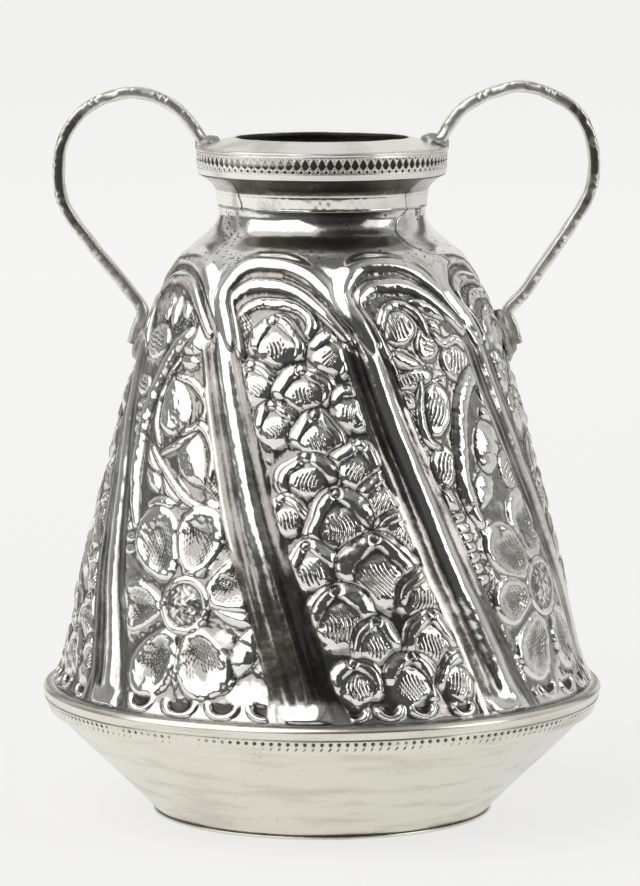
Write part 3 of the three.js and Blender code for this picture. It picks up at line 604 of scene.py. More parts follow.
def mat(angle, height, wide, tall):
    """A ground stippled with a punch: bright grains on black, fading out at its edge."""
    spot, across, along = window(angle, height, 1.2 * max(wide, tall))
    inside = fade(np.hypot(across / wide, along / tall), 0.7, 1.1)
    grain = np.sin(5.3 * across + 1.9 * np.sin(1.7 * along))
    grain *= np.sin(4.9 * along + 2.1 * np.sin(1.3 * across))
    grain += 0.35 * np.sin(9.1 * across + 7.7 * along)
    lay(spot, -0.20 + 0.28 * np.clip(grain, -0.3, 1), inside, np.clip(0.95 - 1.5 * grain, 0.1, 1))


def trace(chain, reach):
    """The part of the sheet within reach of a smooth line through [angle, height] points: its
    distance from the line, which is positive on the line's left, and the share of the line."""
    chain = np.asarray(chain, float)
    knots = np.arange(len(chain))
    t = np.linspace(0, len(chain) - 1, 6 * len(chain))
    angles = curve_through(knots, chain[:, 0], t)
    heights = curve_through(knots, chain[:, 1], t)
    best = np.full(phi.shape, 1e3)
    share = np.zeros(phi.shape)
    for k in range(len(t) - 1):
        middle = (heights[k] + heights[k + 1]) / 2
        bx = (angles[k + 1] - angles[k]) * DEGREE * girth_at(middle)
        by = np.diff(np.interp(heights[k:k + 2], fine_z, fine_s))[0]
        long = math.hypot(bx, by) + 1e-9
        spot, across, along = window((angles[k] + angles[k + 1]) / 2, middle, reach + long / 2)
        ax, ay = across + bx / 2, along + by / 2
        q = np.clip((ax * bx + ay * by) / long ** 2, 0, 1)
        far = np.hypot(ax - q * bx, ay - q * by)
        nearer = far < np.abs(best[spot])
        best[spot] = np.where(nearer, np.where(bx * ay - by * ax > 0, far, -far), best[spot])
        share[spot] = np.where(nearer, (k + q) / (len(t) - 1), share[spot])
    spot = np.nonzero(np.abs(best) < reach)
    return spot, best[spot], share[spot]


def bead(chain, half, rise, taper):
    """A rounded bead along a line: a parabola across, thinner towards both ends, outlined black."""
    spot, far, share = trace(chain, half + 0.6)
    width = half * (1 - taper * np.abs(2 * share - 1) ** 3)
    r = np.abs(far) / width
    form = np.where(r < 1, 0.02 + rise * (0.3 + 0.7 * width / half) * (1 - r * r), GROUND)
    past = np.abs(far) - width
    black = np.where(past < -0.05, 0.25 * smooth(r, 0.4, 0.95), 0.9)
    lay(spot, form, fade(past, 0.1, 0.6), black)


def edge_profile(spot, far, share, profile):
    """A section of [distance, height, soot] carried along a line, thinner towards its ends."""
    width = 1 - 0.35 * np.abs(2 * share - 1) ** 3
    at, heights, blacks = np.array(profile).T
    x = far / width
    form = curve_through(at, heights, x)
    inside = smooth(x, at[0], at[0] + 0.4) * fade(x, at[-1] - 0.4, at[-1])
    lay(spot, form, inside, np.interp(x, at, blacks))
    calm[spot] = np.maximum(calm[spot], inside)


# Hooded buds of a scale panel as angle, height, half width, lean and flatness, from the top down
SCALES = [
    (-14.5, 97.0, 5.0, 12, 0.92), (2.8, 95.2, 4.0, -25, 1.15), (-19.5, 89.2, 3.6, 25, 1.1),
    (-5.5, 88.3, 5.2, 5, 0.78), (8.0, 85.0, 3.9, -32, 1.05), (-13.0, 81.8, 4.2, 15, 0.9),
    (-1.5, 79.6, 4.5, 5, 0.95), (9.0, 73.9, 4.6, -12, 0.95), (-4.0, 72.2, 5.2, 5, 0.72),
    (15.5, 67.9, 4.1, -12, 1.1), (-8.8, 64.9, 3.7, 20, 0.95), (4.6, 63.6, 5.8, 8, 0.93),
    (19.5, 61.2, 4.4, -20, 0.95), (-2.4, 55.2, 4.8, 15, 0.88), (13.2, 54.0, 6.9, 2, 0.93),
    (24.6, 49.2, 5.2, -25, 0.95), (4.2, 45.4, 6.5, 8, 0.85), (12.0, 41.2, 4.2, -5, 0.95),
    (25.0, 40.8, 5.2, -3, 0.95), (7.6, 33.6, 4.6, 10, 0.88), (19.6, 33.6, 5.2, -5, 0.92),
    (31.2, 33.6, 4.5, -18, 1.0)]
SCALE_FOOT = [
    (-3.0, 29.4, 3.4), (7.0, 28.9, 2.4), (14.3, 29.4, 2.6), (21.6, 29.4, 2.6), (31.0, 28.9, 2.4),
    (38.5, 29.6, 3.3)]
THIRD_ARCH = [
    (-29.0, 100.6), (-27, 103.4), (-22, 104.9), (-15, 104.9), (-9, 104.4), (-5.5, 103.2), (-3.4, 101.2),
    (-4.6, 99.0)]

# Two kinds of flower panel. Petals, leaves, pads and hatched ovals are angle, height, half length, half
# width and turn. A scroll is its line, half width, rise and taper.
LEFT_FLOWER = {
    "home": -95, "boss": (-33.4, 47.5, 4.5),
    "petals": [(-43.8, 58.3, 7.6, 5.8, 128), (-31.6, 59.4, 7.0, 5.2, 84),
        (-20.9, 51.6, 6.6, 4.9, 22), (-27.4, 37.2, 7.2, 5.6, -66), (-39.8, 36.4, 7.4, 5.4, -118),
        (-46.8, 46.4, 6.2, 4.7, 185)],
    "leaves": [(-20.4, 46.0, 5.0, 1.5, -10), (-17.2, 39.6, 5.0, 2.6, 80),
        (-33.4, 35.6, 4.6, 1.1, 92), (-22.5, 32.9, 3.4, 1.7, 25), (-38.0, 75.5, 7.0, 3.6, -48),
        (-45.0, 93.2, 2.8, 1.5, 5), (-51.0, 72.4, 5.6, 2.6, -55), (-41.0, 68.6, 5.8, 2.3, -25),
        (-30.0, 65.8, 3.8, 1.9, 20), (-25.2, 62.5, 2.6, 1.2, -40), (-45.8, 65.9, 4.2, 1.6, 10),
        (-52.8, 104.0, 3.6, 1.9, -60), (-58.5, 102.5, 3.6, 1.8, -70), (-64.0, 103.0, 3.2, 1.9, -60),
        (-34.6, 92.0, 7.0, 2.1, -62)],
    "pads": [(-48.5, 84.5, 6.6, 4.6, -50), (-44.2, 97.4, 4.2, 3.1, 10)],
    "hatched": [(-64.5, 96.2, 4.8, 3.6, 5, "along"), (-67.5, 87.5, 3.2, 2.1, 0, "along"),
        (-55.5, 106.3, 4.7, 1.7, -20, "along")],
    "scrolls": [
        ([(-46.5, 98.9), (-52.5, 95.6), (-57.5, 90.0), (-60.6, 83.0), (-61.0, 76.0), (-58.6, 68.5),
        (-54.2, 61.5)], 2.0, 0.75, 0.5),
        ([(-49.5, 93.2), (-53.6, 88.0), (-54.3, 82.0), (-51.0, 77.0)], 0.8, 0.45, 0.3),
        ([(-49.0, 90.2), (-41.0, 89.0), (-34.8, 84.4), (-42.0, 78.2), (-50.5, 75.0)], 0.9, 0.45, 0.5),
        ([(-53.5, 76.2), (-45.0, 71.2), (-37.0, 67.2), (-32.0, 66.2)], 0.8, 0.45, 0.5),
        ([(-42.5, 79.6), (-36.0, 81.3), (-31.2, 77.2), (-31.0, 71.4)], 0.9, 0.45, 0.4)],
    "column": [(-66.0, 84.0), (-65.2, 81.6), (-64.5, 79.3), (-63.6, 77.0), (-62.6, 74.9),
        (-61.8, 72.8), (-61.0, 70.6), (-60.2, 68.2), (-59.0, 65.8), (-57.8, 63.5), (-56.4, 61.0),
        (-55.2, 58.8), (-54.2, 56.6)],
    "mats": [(-25.5, 71.0, 4.8, 11.5), (-22.0, 60.5, 3.4, 4.4), (-54.0, 100.5, 7.0, 3.5)],
    "foot": [(-54.0, 29.4, 2.6), (-41.6, 29.6, 3.4), (-31.2, 29.4, 3.7), (-21.3, 29.5, 3.3),
        (-12.0, 29.6, 3.4)]}
RIGHT_FLOWER = {
    "home": 0, "boss": (63.4, 48.5, 4.7),
    "petals": [(62.2, 60.6, 7.4, 5.9, 92), (51.9, 56.0, 7.2, 4.9, 141), (50.9, 47.2, 5.9, 4.6, 188),
        (56.4, 38.0, 7.2, 5.5, -121), (70.5, 38.4, 7.3, 5.6, -59), (77.2, 52.6, 7.3, 5.2, 18)],
    "leaves": [(71.8, 60.2, 5.4, 1.6, 62), (78.6, 45.0, 5.2, 1.7, -18), (47.8, 69.0, 5.0, 2.8, 66),
        (62.6, 78.0, 5.6, 2.1, -62), (34.0, 67.8, 3.6, 1.9, -40), (25.5, 94.0, 4.6, 1.5, -16),
        (25.9, 86.4, 3.2, 1.4, -10), (44.2, 36.5, 2.2, 1.7, 0), (36.0, 88.5, 3.6, 1.7, 40),
        (40.6, 103.2, 5.6, 1.6, -22), (66.0, 69.0, 4.6, 2.7, -50), (21.2, 92.5, 4.4, 1.4, -62)],
    "pads": [(52.0, 76.6, 5.6, 3.7, 76), (46.6, 60.6, 2.6, 2.5, 0)],
    "hatched": [(25.2, 100.2, 3.7, 3.4, 0, "across"), (36.2, 97.6, 4.2, 2.7, 60, "across"),
        (46.6, 92.6, 4.9, 3.8, -30, "across"), (34.6, 84.4, 5.3, 3.5, 78, "along"),
        (34.4, 73.6, 4.3, 3.0, 84, "along"), (60.6, 71.0, 4.8, 3.4, -60, "across"),
        (47.6, 33.0, 4.2, 2.7, 60, "along"), (28.0, 90.4, 4.6, 1.7, 8, "across")],
    "scrolls": [
        ([(53.6, 82.8), (57.6, 82.6), (59.3, 85.8), (56.4, 89.6), (51.0, 89.9), (45.8, 86.6),
        (42.2, 80.0), (40.7, 72.0), (41.6, 66.2), (43.6, 62.4)], 2.1, 0.80, 0.4),
        ([(30.8, 89.6), (29.3, 84.0), (30.6, 79.0), (33.6, 77.4)], 0.9, 0.45, 0.4),
        ([(19.4, 94.8), (19.0, 100.0), (22.4, 104.0), (28.0, 104.6), (33.5, 102.6),
        (36.0, 99.0)], 0.9, 0.45, 0.3),
        ([(38.4, 98.6), (42.0, 96.8), (47.5, 97.3), (52.0, 94.5)], 0.9, 0.45, 0.4)],
    "column": [(35.6, 65.8), (36.4, 63.8), (37.2, 61.8), (37.9, 59.9), (38.5, 58.0), (39.2, 56.1),
        (40.0, 54.0), (41.0, 51.8)],
    "mats": [(26.5, 80.0, 3.4, 6.0), (42.8, 46.5, 3.2, 7.4), (30.8, 74.0, 2.0, 4.4),
        (74.0, 70.0, 5.0, 6.0)],
    "foot": [(49.4, 29.4, 2.6), (57.2, 30.0, 3.1), (66.0, 29.6, 3.4), (76.2, 29.6, 3.2)]}
DROP = 0.25


def placed(rows, shift):
    """Rows of angle, height and more, turned to their panel and set lower by the drop."""
    return [(angle + shift, height - DROP, *more) for angle, height, *more in rows]


def chase_scales(start):
    """A scale panel: buds from the top down, the third arch over them, scallops at the foot."""
    shift = start + 46.0
    bead(placed(THIRD_ARCH, shift), 1.15, 0.55, 0.2)
    mat(-26.0 + shift, 98.5, 2.4, 5.0)
    for row in placed(SCALES, shift):
        bud(*row)
    for row in placed(SCALE_FOOT, shift):
        scallop(*row)


def chase_flower(start, flower):
    """A flower panel: scrolls, leaves, the ridged column, six petals round a boss, and scallops."""
    shift = start - flower["home"]
    for angle, height, wide, tall in flower["mats"]:
        mat(angle + shift, height, wide, tall)
    for row in placed(flower["column"], shift):
        oval(*row, 2.1, 0.95, 8, 0.40)
    for row in placed(flower["leaves"], shift):
        leaf(*row)
    for row in placed(flower["pads"], shift):
        oval(*row, 0.75)
    for *row, hatch in placed(flower["hatched"], shift):
        oval(*row, 0.42, rim=0.18, hatch=hatch)
    for chain, half, rise, taper in flower["scrolls"]:
        bead(placed(chain, shift), half, rise, taper)
    for row in placed(flower["petals"], shift):
        petal(*row)
    (angle, height, size), = placed([flower["boss"]], shift)
    spot, across, along = window(angle, height, 1.5 * size)
    rho = np.hypot(across, along) / size
    ring = 0.10 + 0.50 * hump((rho - 1.10) / 0.17)
    rough = np.sin(3.1 * across + 1.5 * np.sin(2.3 * along))
    rough *= np.sin(2.7 * along + 1.2 * np.sin(1.9 * across))
    dome = 0.12 + 0.62 * hump(rho / 0.95) + 0.12 * rough * fade(rho, 0.7, 0.9)
    black = np.where(rho < 0.93, np.clip(0.55 - 0.8 * rough, 0.1, 0.85), near(rho, 0.945, 0.03))
    black = np.maximum(black, smooth(rho, 1.24, 1.28))
    lay(spot, np.where(rho < 0.94, dome, ring), fade(rho, 1.28, 1.34), black)
    for row in placed(flower["foot"], shift):
        scallop(*row)


ARCH_CROWN = 0.39
OUTER_ARCH = [
    (-1.9, -0.36, 1.0), (-1.45, -0.30, 1.0), (-1.1, 0.10, 0.3), (-0.6, 0.46, 0.0), (0.2, 0.62, 0.0),
    (1.1, 0.60, 0.0), (1.9, 0.38, 0.0), (2.6, 0.13, 0.0), (3.3, 0.0, 0.0)]
INNER_ARCH = [
    (-2.1, -0.36, 1.0), (-1.65, -0.30, 1.0), (-1.25, 0.05, 0.4), (-0.7, 0.42, 0.0), (0.0, 0.56, 0.0),
    (0.8, 0.44, 0.0), (1.3, 0.10, 0.4), (1.6, -0.20, 0.9), (2.0, -0.24, 0.9)]


def arch(start, end, top, left_drop, right_drop, left, right, foot, profile):
    """An arch over a panel: it climbs beside the left rib, crowns at 0.39 of the width, and falls
    by a cubic into the right rib."""
    shares = np.linspace(left, right, 12)
    drop = np.where(shares < ARCH_CROWN, left_drop * ((ARCH_CROWN - shares) / (ARCH_CROWN - left)) ** 3,
                    right_drop * (np.clip(shares - ARCH_CROWN, 0, None) / (right - ARCH_CROWN)) ** 3)
    chain = [(start + (end - start) * s + swirl(top - d), top - d) for s, d in zip(shares, drop)]
    climb = [(start + angle + swirl(height), height) for angle, height in foot]
    spot, far, share = trace(climb + chain, 4.0)
    edge_profile(spot, far, share, profile)


# Across a rib, in millimetres from its main bead: distance, height and soot
RIB = [
    (-6.4, -0.40, 1.0), (-6.0, -0.08, 0.8), (-5.5, 0.17, 0.1), (-5.0, 0.02, 0.8), (-4.4, -0.10, 1.1),
    (-3.8, -0.06, 1.1), (-3.2, 0.03, 0.8), (-2.7, -0.05, 1.1), (-2.2, -0.18, 1.1), (-1.8, 0.02, 0.7),
    (-1.0, 0.46, 0.0), (0.0, 0.68, 0.0), (1.1, 0.52, 0.0), (2.0, 0.08, 0.45), (2.6, -0.13, 1.0),
    (3.4, -0.04, 0.8), (4.2, -0.06, 1.0), (4.8, -0.40, 1.0)]
FLAT_RIBS_WITH_PAINTED_SHADE = (-46, 132)


def rib(start):
    """A rib: its section along its line, narrower where the body is slimmer, and flared at its foot.
    It ends under the arches, its left part first. Two ribs are flatter in their lower half, which is
    painted black as shade."""
    across = turn_back(theta - start)[None, :] * DEGREE * girth[:, None] * 0.94
    width = (np.clip(girth / 45, 0.62, 1.12) * (1 + 0.25 * fade(level, 26.5, 33.0)))[:, None]
    wander = 0.5 * np.sin(0.075 * level + 0.7 * start) + 0.2 * np.sin(0.21 * level + start)
    x = across / width - wander[:, None]
    at, heights, blacks = np.array(RIB).T
    form = curve_through(at, heights, np.clip(x, at[0], at[-1]))
    upper_end = np.where(x < -2.0, fade(level, 94.0, 98.5)[:, None], fade(level, 97.0, 101.5)[:, None])
    cover = smooth(x, at[0], at[0] + 0.35) * fade(x, at[-1] - 0.3, at[-1]) * upper_end
    black = np.interp(x, at, blacks) * (0.90 + 0.10 * np.sin(0.5 * level + start)[:, None])
    # Painted shade: these ribs are black in their lower half
    if start in FLAT_RIBS_WITH_PAINTED_SHADE:
        low_part = fade(level, 53, 62)[:, None]
        black = np.maximum(black, 1.10 * low_part * smooth(level, 29, 31)[:, None])
        form = form - (form - 0.02) * 0.55 * low_part
    lay(slice(None), form, cover, black)
    calm[:] = np.maximum(calm, cover)


OUTER_TOP, OUTER_LEFT_DROP, OUTER_RIGHT_DROP = 111.7, 5.6, 11.5
share = (theta[None, :] - np.repeat(RIB_STARTS[:-1], COLUMNS)) / np.repeat(np.diff(RIB_STARTS), COLUMNS)
arch_line = OUTER_TOP - np.where(
    share < ARCH_CROWN, OUTER_LEFT_DROP * ((ARCH_CROWN - share) / ARCH_CROWN) ** 3,
    OUTER_RIGHT_DROP * (np.clip(share - ARCH_CROWN, 0, 1) / (1 - ARCH_CROWN)) ** 3)
outside = smooth(level[:, None] - arch_line, -0.3, 0.3)
flowered = np.repeat([kind % 2 == 0 for kind in range(8)], COLUMNS)[None, :]
bright = flowered * fade(level, 60.0, 68.0)[:, None]
relief += 0.28 * bright
soot -= 0.70 * bright + 0.20 * (flowered - bright)
relief *= 1 - outside
soot *= 1 - outside
for kind, (start, _) in enumerate(PANELS):
    if kind % 2:
        chase_scales(start)
    else:
        chase_flower(start, LEFT_FLOWER if kind in (0, 4) else RIGHT_FLOWER)
for start in RIB_STARTS[:-1]:
    rib(start)
    scallop(start + swirl(29.4) - 1.5, 29.4, 4.0, dish=False)
for start, end in PANELS:
    arch(start, end, 108.0, 3.9, 9.6, 0.06, 1 - 4.9 / (end - start), [(6.2, 95.0), (5.2, 99.5)],
         INNER_ARCH)
    arch(start, end, OUTER_TOP, OUTER_LEFT_DROP, OUTER_RIGHT_DROP, 0.012, 1.0, [(3.6, 97.0), (2.6, 101.0)],
         OUTER_ARCH)

height = level[:, None] + 0 * phi
angle = phi * DEGREE


def softened(field, rows, columns):
    """The mean over a box of rows and columns, taken twice for a rounder spread."""
    for _ in range(2):
        padded = np.pad(field, ((rows + 1, rows), (0, 0)), "edge").cumsum(0)
        field = (padded[2 * rows + 1:] - padded[:-2 * rows - 1]) / (2 * rows + 1)
        padded = np.pad(field, ((0, 0), (columns + 1, columns)), "wrap").cumsum(1)
        field = (padded[:, 2 * columns + 1:] - padded[:, :-2 * columns - 1]) / (2 * columns + 1)
    return field


def beaten(rows, columns, seed):
    """Uneven marks of the tools: seeded random values spread over boxes of rows and columns."""
    field = softened(np.random.default_rng(seed).normal(size=relief.shape), rows, columns)
    return field / field.std()


# The forms flow into each other, cut lines stay sharp, the foot and the neck stay plain, and two
# places under the handles' tails are beaten flat. Polish has worn the oxide off what stands out
# from its surroundings, and a grey film stays on what lies lower.
even_forms = softened(relief, 2, 2)
relief = 0.2 * relief + 0.8 * even_forms
relief += (softened(even_forms, 4, 2) - relief) * calm * fade(height, 93, 99)
chasing = smooth(height, 27, 30) * (1 - outside)
marks = 0.070 * beaten(6, 8, 1) + 0.036 * beaten(2, 3, 2) + 0.009 * beaten(1, 1, 6)
relief += marks * chasing * (1 - 0.72 * calm)
film = 0.52 * fade(relief - softened(relief, 8, 11), -0.22, 0.04) * chasing
relief -= engraved
cavity = softened(relief, 3, 3) - relief
from_tail = np.abs(np.abs(turn_back(phi)) - 90) * DEGREE * 35
seat = np.maximum(smooth(from_tail, 3.2, 6.0), smooth(np.abs(height - SEAT_HEIGHT), 7.5, 10.5))
above_foot = smooth(height, 26.35, 27.1)
relief = relief * above_foot * np.where(relief > 0, seat, 1)
relief += unevenness(height, angle, 0.05, 11) * smooth(height, BODY_FOOT, 30) * fade(height, 119, BODY_TOP)
oxide_and_painted_shade = np.clip(np.maximum(film, soot * 0.85) + 0.8 * np.clip(cavity, -0.2, 0.25), 0, 1) * above_foot
oxide_and_painted_shade *= 1 - 0.34 * np.clip(beaten(24, 1, 3) - 0.4, 0, 1.6) * calm

# A hairline crack runs down from the neck's right. The neck is darkened in front, in a band, in a streak
# and along its upper edge, partly as grime and partly as a painted dark reflection of the room in front,
# and freckled all round but for one wiped place.
crack = np.interp(height, [111.0, 112.6, 113.6, 115.0, 117.5, 119.6, BODY_TOP],
                  [62.0, 57.0, 50.0, 44.5, 42.0, 45.5, 54.0])
crack_far = np.abs(turn_back(phi - crack)) * DEGREE * girth[:, None]
crack_line = near(crack_far, 0, 0.22) * (height > 110.8)
relief -= 0.12 * crack_line
side = turn_back(phi)
# Grime and painted shade: the band, the streak and the upper edge are darkest in front
band = smooth(height, 113.4, 114.4) * fade(height, 117.2, 118.6)
streak = fade(np.abs(side - 16), 12, 24) * smooth(height, 116.5, 118.0)
grime_and_painted_shade = fade(np.abs(side - 2), 36, 56) * (0.58 * band + 0.45 * smooth(height, 120.2, 121.0))
grime_and_painted_shade += 0.62 * streak
grime_and_painted_shade = np.maximum(grime_and_painted_shade, 0.14 * smooth(height, 114, 116))
freckles = smooth(beaten(0, 2, 4) + 0.7 * beaten(12, 30, 5), 1.9, 2.5) * smooth(height, 108, 113) * outside
freckles *= 1 - 0.8 * fade(np.abs(side + 24), 16, 22) * smooth(height, 117, 118)
foot_line = near(height, BODY_FOOT, 0.5)
oxide_and_painted_shade = np.clip(np.maximum.reduce([oxide_and_painted_shade, 0.85 * foot_line, crack_line, grime_and_painted_shade, freckles]), 0, 1)

# The outer face stands off the outline along its slope, and its normals come from the whole sheet,
# so that no seam shows where two pieces meet
lean = np.arctan2(-np.gradient(girth, level), 1.0)[:, None]
out = girth[:, None] + relief * np.cos(lean)
outer = at_angle(out, angle, height + relief * np.sin(lean))
along_sheet = np.gradient(outer, axis=0)
around_sheet = (np.roll(outer, -1, 1) - np.roll(outer, 1, 1)) / 2
normal = np.cross(around_sheet, along_sheet)
normal /= np.linalg.norm(normal, axis=-1, keepdims=True)
NECK_INSIDE, NECK_OUTSIDE, NECK_TOP = 18.95, 19.75, 123.4
inner_radius = np.where(level > 119.4, NECK_INSIDE, girth - 1.15)
chased_silver = silver("chased_silver", (0.905, 0.892, 0.856), 0.080, oxide_and_painted_shade=1.0, tarnish=0.30, specks=0.5,
                       scratch=(1.6, 1.6, 1.6), scratch_depth=0.012, wave_depth=0.06, wave_scale=0.28)


def ring(radius, z, columns):
    """Points of one ring on the given columns of the sheet."""
    turn = (theta[columns % len(theta)] + 360 * (columns // len(theta)) + swirl(z)) * DEGREE
    return at_angle(radius, turn, np.full(len(columns), z))


for panel in range(len(PANELS)):
    columns = np.arange(panel * COLUMNS, (panel + 1) * COLUMNS + 1)
    wrapped = columns % len(theta)
    few = columns[np.linspace(0, COLUMNS, 13).astype(int)]
    front = np.concatenate([
        [ring(SKIRT_RADIUS, SKIRT_TOP, columns), ring(SKIRT_RADIUS, BODY_FOOT - 0.01, columns)],
        outer[:, wrapped],
        [ring(NECK_OUTSIDE, BODY_TOP + 0.01, columns), ring(NECK_OUTSIDE, NECK_TOP, columns)]])
    back = np.array(
        [ring(SKIRT_RADIUS - 1.0, SKIRT_TOP, few), ring(SKIRT_RADIUS - 1.0, BODY_FOOT - 0.05, few)]
        + [ring(radius, z, few) for radius, z in zip(inner_radius, level)]
        + [ring(NECK_INSIDE, BODY_TOP + 0.05, few), ring(NECK_INSIDE, NECK_TOP, few)])
    rows, wide, narrow = len(front), COLUMNS + 1, len(few)
    grid = np.arange(rows * wide).reshape(rows, wide)
    inner = rows * wide + np.arange(rows * narrow).reshape(rows, narrow)
    sheets = [
        np.stack([grid[:-1, :-1], grid[:-1, 1:], grid[1:, 1:], grid[1:, :-1]], -1),
        np.stack([inner[:-1, :-1], inner[1:, :-1], inner[1:, 1:], inner[:-1, 1:]], -1),
        np.stack([grid[:-1, 0], grid[1:, 0], inner[1:, 0], inner[:-1, 0]], -1),
        np.stack([grid[:-1, -1], inner[:-1, -1], inner[1:, -1], grid[1:, -1]], -1)]
    ends = [np.concatenate([grid[0, ::-1], inner[0]]), np.concatenate([grid[-1], inner[-1, ::-1]])]
    points = np.concatenate([front.reshape(-1, 3), back.reshape(-1, 3)])
    facing = points * (1, 1, 0)
    facing /= np.linalg.norm(facing, axis=1, keepdims=True)
    facing[rows * wide:] *= -1
    facing[2 * wide:(rows - 2) * wide] = normal[:, wrapped].reshape(-1, 3)
    dark = np.zeros(len(points))
    dark[2 * wide:(rows - 2) * wide] = oxide_and_painted_shade[:, wrapped].ravel()
    dark[rows * wide:] = 0.6
    quads = np.concatenate([sheet.reshape(-1, 4) for sheet in sheets])
    make_piece(f"chased_panel_{panel + 1}", points, quads, ends, chased_silver, "body_shell",
               dark, facing)

# Neck collar: a strip closed by an upright joint at its left, with a plain foot band and a flare
# that carries the rim. The foot band is worn through to bright metal and full of small dints.
COLLAR_JOINT, COLLAR_CRACK = -50.0, 52
FLARE_FOOT, RIM_FOOT = 124.2, 127.8


def collar_change(radius, height, angle):
    """An upright joint at the left and a fainter crack at the right, both slightly wavy, with dints
    and two stains on the foot band and a dark flare: oxide all round, and painted shade that makes it
    darkest in front."""
    outside = radius > 20.5
    side = turn_back(np.degrees(angle))
    millimetres = DEGREE * 21
    far = np.abs(turn_back(side - COLLAR_JOINT - 0.8 * np.sin(1.4 * height))) * millimetres
    joint = near(far, 0, 0.20) * outside * (height < 127.0)
    far = (side - COLLAR_CRACK - 1.2 * np.sin(1.1 * height)) * millimetres
    second = near(far, 0, 0.16) * outside * 0.6
    seams = 0.9 * near(height, 121.45, 0.22) + 0.3 * near(height, FLARE_FOOT, 0.12)
    seams += 0.7 * smooth(height, 127.2, RIM_FOOT)
    waves = unevenness(height, angle, 0.05, 17) * outside
    band = smooth(height, 121.6, 122.0) * fade(height, 123.9, 124.3) * outside
    stain = 0.07 + 0.22 * near(side, -27, 16) + 0.14 * near(side, 22, 14)
    # Painted shade: the flare's darkest part faces the front
    front = 0.95 * smooth(height, 124.3, 124.9) * fade(np.abs(side - 1), 48, 64)
    flare_oxide_and_painted_shade = np.maximum(front, 0.42 * smooth(height, 124.3, 125.0))
    dints = 0.022 * np.sin(38 * angle + 3 * np.sin(17 * angle)) * np.sin(2.6 * height + 9 * angle) * band
    return (radius + waves + dints - 0.14 * joint - 0.07 * second, height,
            np.clip(joint + second + stain * band + (seams + flare_oxide_and_painted_shade) * outside, 0, 1))


flare = [(21.1 + 3.5 * t ** 1.9, FLARE_FOOT + 3.6 * t) for t in np.linspace(0, 1, 26)]
collar = [(20.80, BODY_TOP), (20.90, 121.65), (20.80, 121.85)]
collar += [(20.80 + 0.15 * (z - 122.0), z) for z in np.linspace(122.0, 124.05, 9)]
collar += flare + [(23.8, RIM_FOOT), (23.8, 131.6), (22.9, 131.6), (22.9, 128.1)]
collar += [(max(r - 0.9, 20.05), z + 0.2) for r, z in flare[::-4]] + [(20.05, 123.0), (20.05, BODY_TOP)]
collar_silver = silver("collar_silver", (0.91, 0.89, 0.84), 0.13, oxide_and_painted_shade=0.95, tarnish=0.30, specks=1.3,
                       scratch=(2.2, 2.2, 0.35), scratch_depth=0.020, wave_depth=0.03, wave_scale=0.25)
turned_piece("flared_collar", collar, 704, collar_change, collar_silver, "neck_collar",
             crease=50)

# Rim band: a hoop with a lattice between a plain strip below and a narrow edge above: a row of sunk
# drops, and small sunk dots under and over the strands that cross between them. The drops are black
# with oxide, and the band's upper left is worn nearly smooth.
LATTICE_CELLS = 96
RIM_TOP = 132.5


def rim_change(radius, height, angle):
    """Drops whose half width follows a skewed sine up the band, dots and notches between them, all
    sunk, and shallower where the band is worn."""
    outside = radius > 24.45
    t = np.clip((height - 129.15) / 3.05, 0, 1)
    cell = angle * LATTICE_CELLS / (2 * math.pi)
    pitch = 2 * math.pi * 25 / LATTICE_CELLS
    u = (cell + 0.5) % 1 - 0.5
    p = np.clip((t - 0.24) / 0.74, 0, 1)
    drop_half = 0.44 * np.sin(math.pi * p ** 0.68)
    drop = smooth((drop_half - np.abs(u)) * pitch, -0.02, 0.14)
    other = cell % 1 - 0.5
    dot = smooth(1 - np.hypot(other / 0.22, (t - 0.11) / 0.11), 0.0, 0.45)
    notch = 0.45 * smooth(1 - np.hypot(other / 0.24, (t - 0.98) / 0.20), 0.0, 0.5)
    inside = smooth(height, 129.05, 129.25) * fade(height, 131.95, 132.2)
    side = turn_back(np.degrees(angle))
    strength = 1 - 0.75 * near(side, -30, 20) * smooth(height, 130.0, 131.2)
    strength = strength * (1 - 0.35 * near(side, -42, 25)) * inside
    sunk = strength * np.maximum.reduce([drop, dot, notch])
    seam = near(height, RIM_TOP, 0.12)
    waves = unevenness(height, angle, 0.04, 23) * outside
    return (radius - outside * (0.46 * sunk + 0.10 * seam) + waves, height,
            outside * np.clip(1.35 * sunk + 0.03 * strength + 0.4 * seam, 0, 1))


rim = [(24.50, RIM_FOOT), (24.60, 127.88)]
rim += [(24.64 + 0.22 * t, 127.95 + 1.15 * t) for t in np.linspace(0, 1, 7)]
rim += [(24.84 + 0.05 * (z - 129.15), z) for z in np.linspace(129.15, 132.2, 40)]
rim += [(25.0, 132.3), (25.0, RIM_TOP), (23.95, RIM_TOP), (23.95, RIM_FOOT)]
lattice_silver = silver("lattice_silver", (0.93, 0.91, 0.86), 0.29, oxide_and_painted_shade=1.0, tarnish=0.25, specks=0.3,
                        scratch=(0.8, 0.8, 3.0), scratch_depth=0.010)
turned_piece("lattice_rim", rim, LATTICE_CELLS * 13, rim_change, lattice_silver, "rim_band",
             crease=60)

# Mouth plate: a shallow cone soldered on the rim band, with a rolled outer edge and a thin lip
# around the mouth. It is the most handled part: dull, freckled, with a dark inside.
MOUTH_RADIUS = 17.2


def mouth_change(radius, height, angle):
    """Slow waves, a dark line along the outer edge of the slope, and a dark mouth."""
    top = (height > 133.0) & (radius > MOUTH_RADIUS + 0.1)
    waves = unevenness(height, angle, 0.05, 29)
    within = (height < 134.9) & (radius < MOUTH_RADIUS + 0.2)
    dark = (0.11 + 0.5 * near(radius, 24.55, 0.16)) * top + 0.95 * within
    return radius + 0.4 * waves, height + waves * top, np.clip(dark, 0, 1)


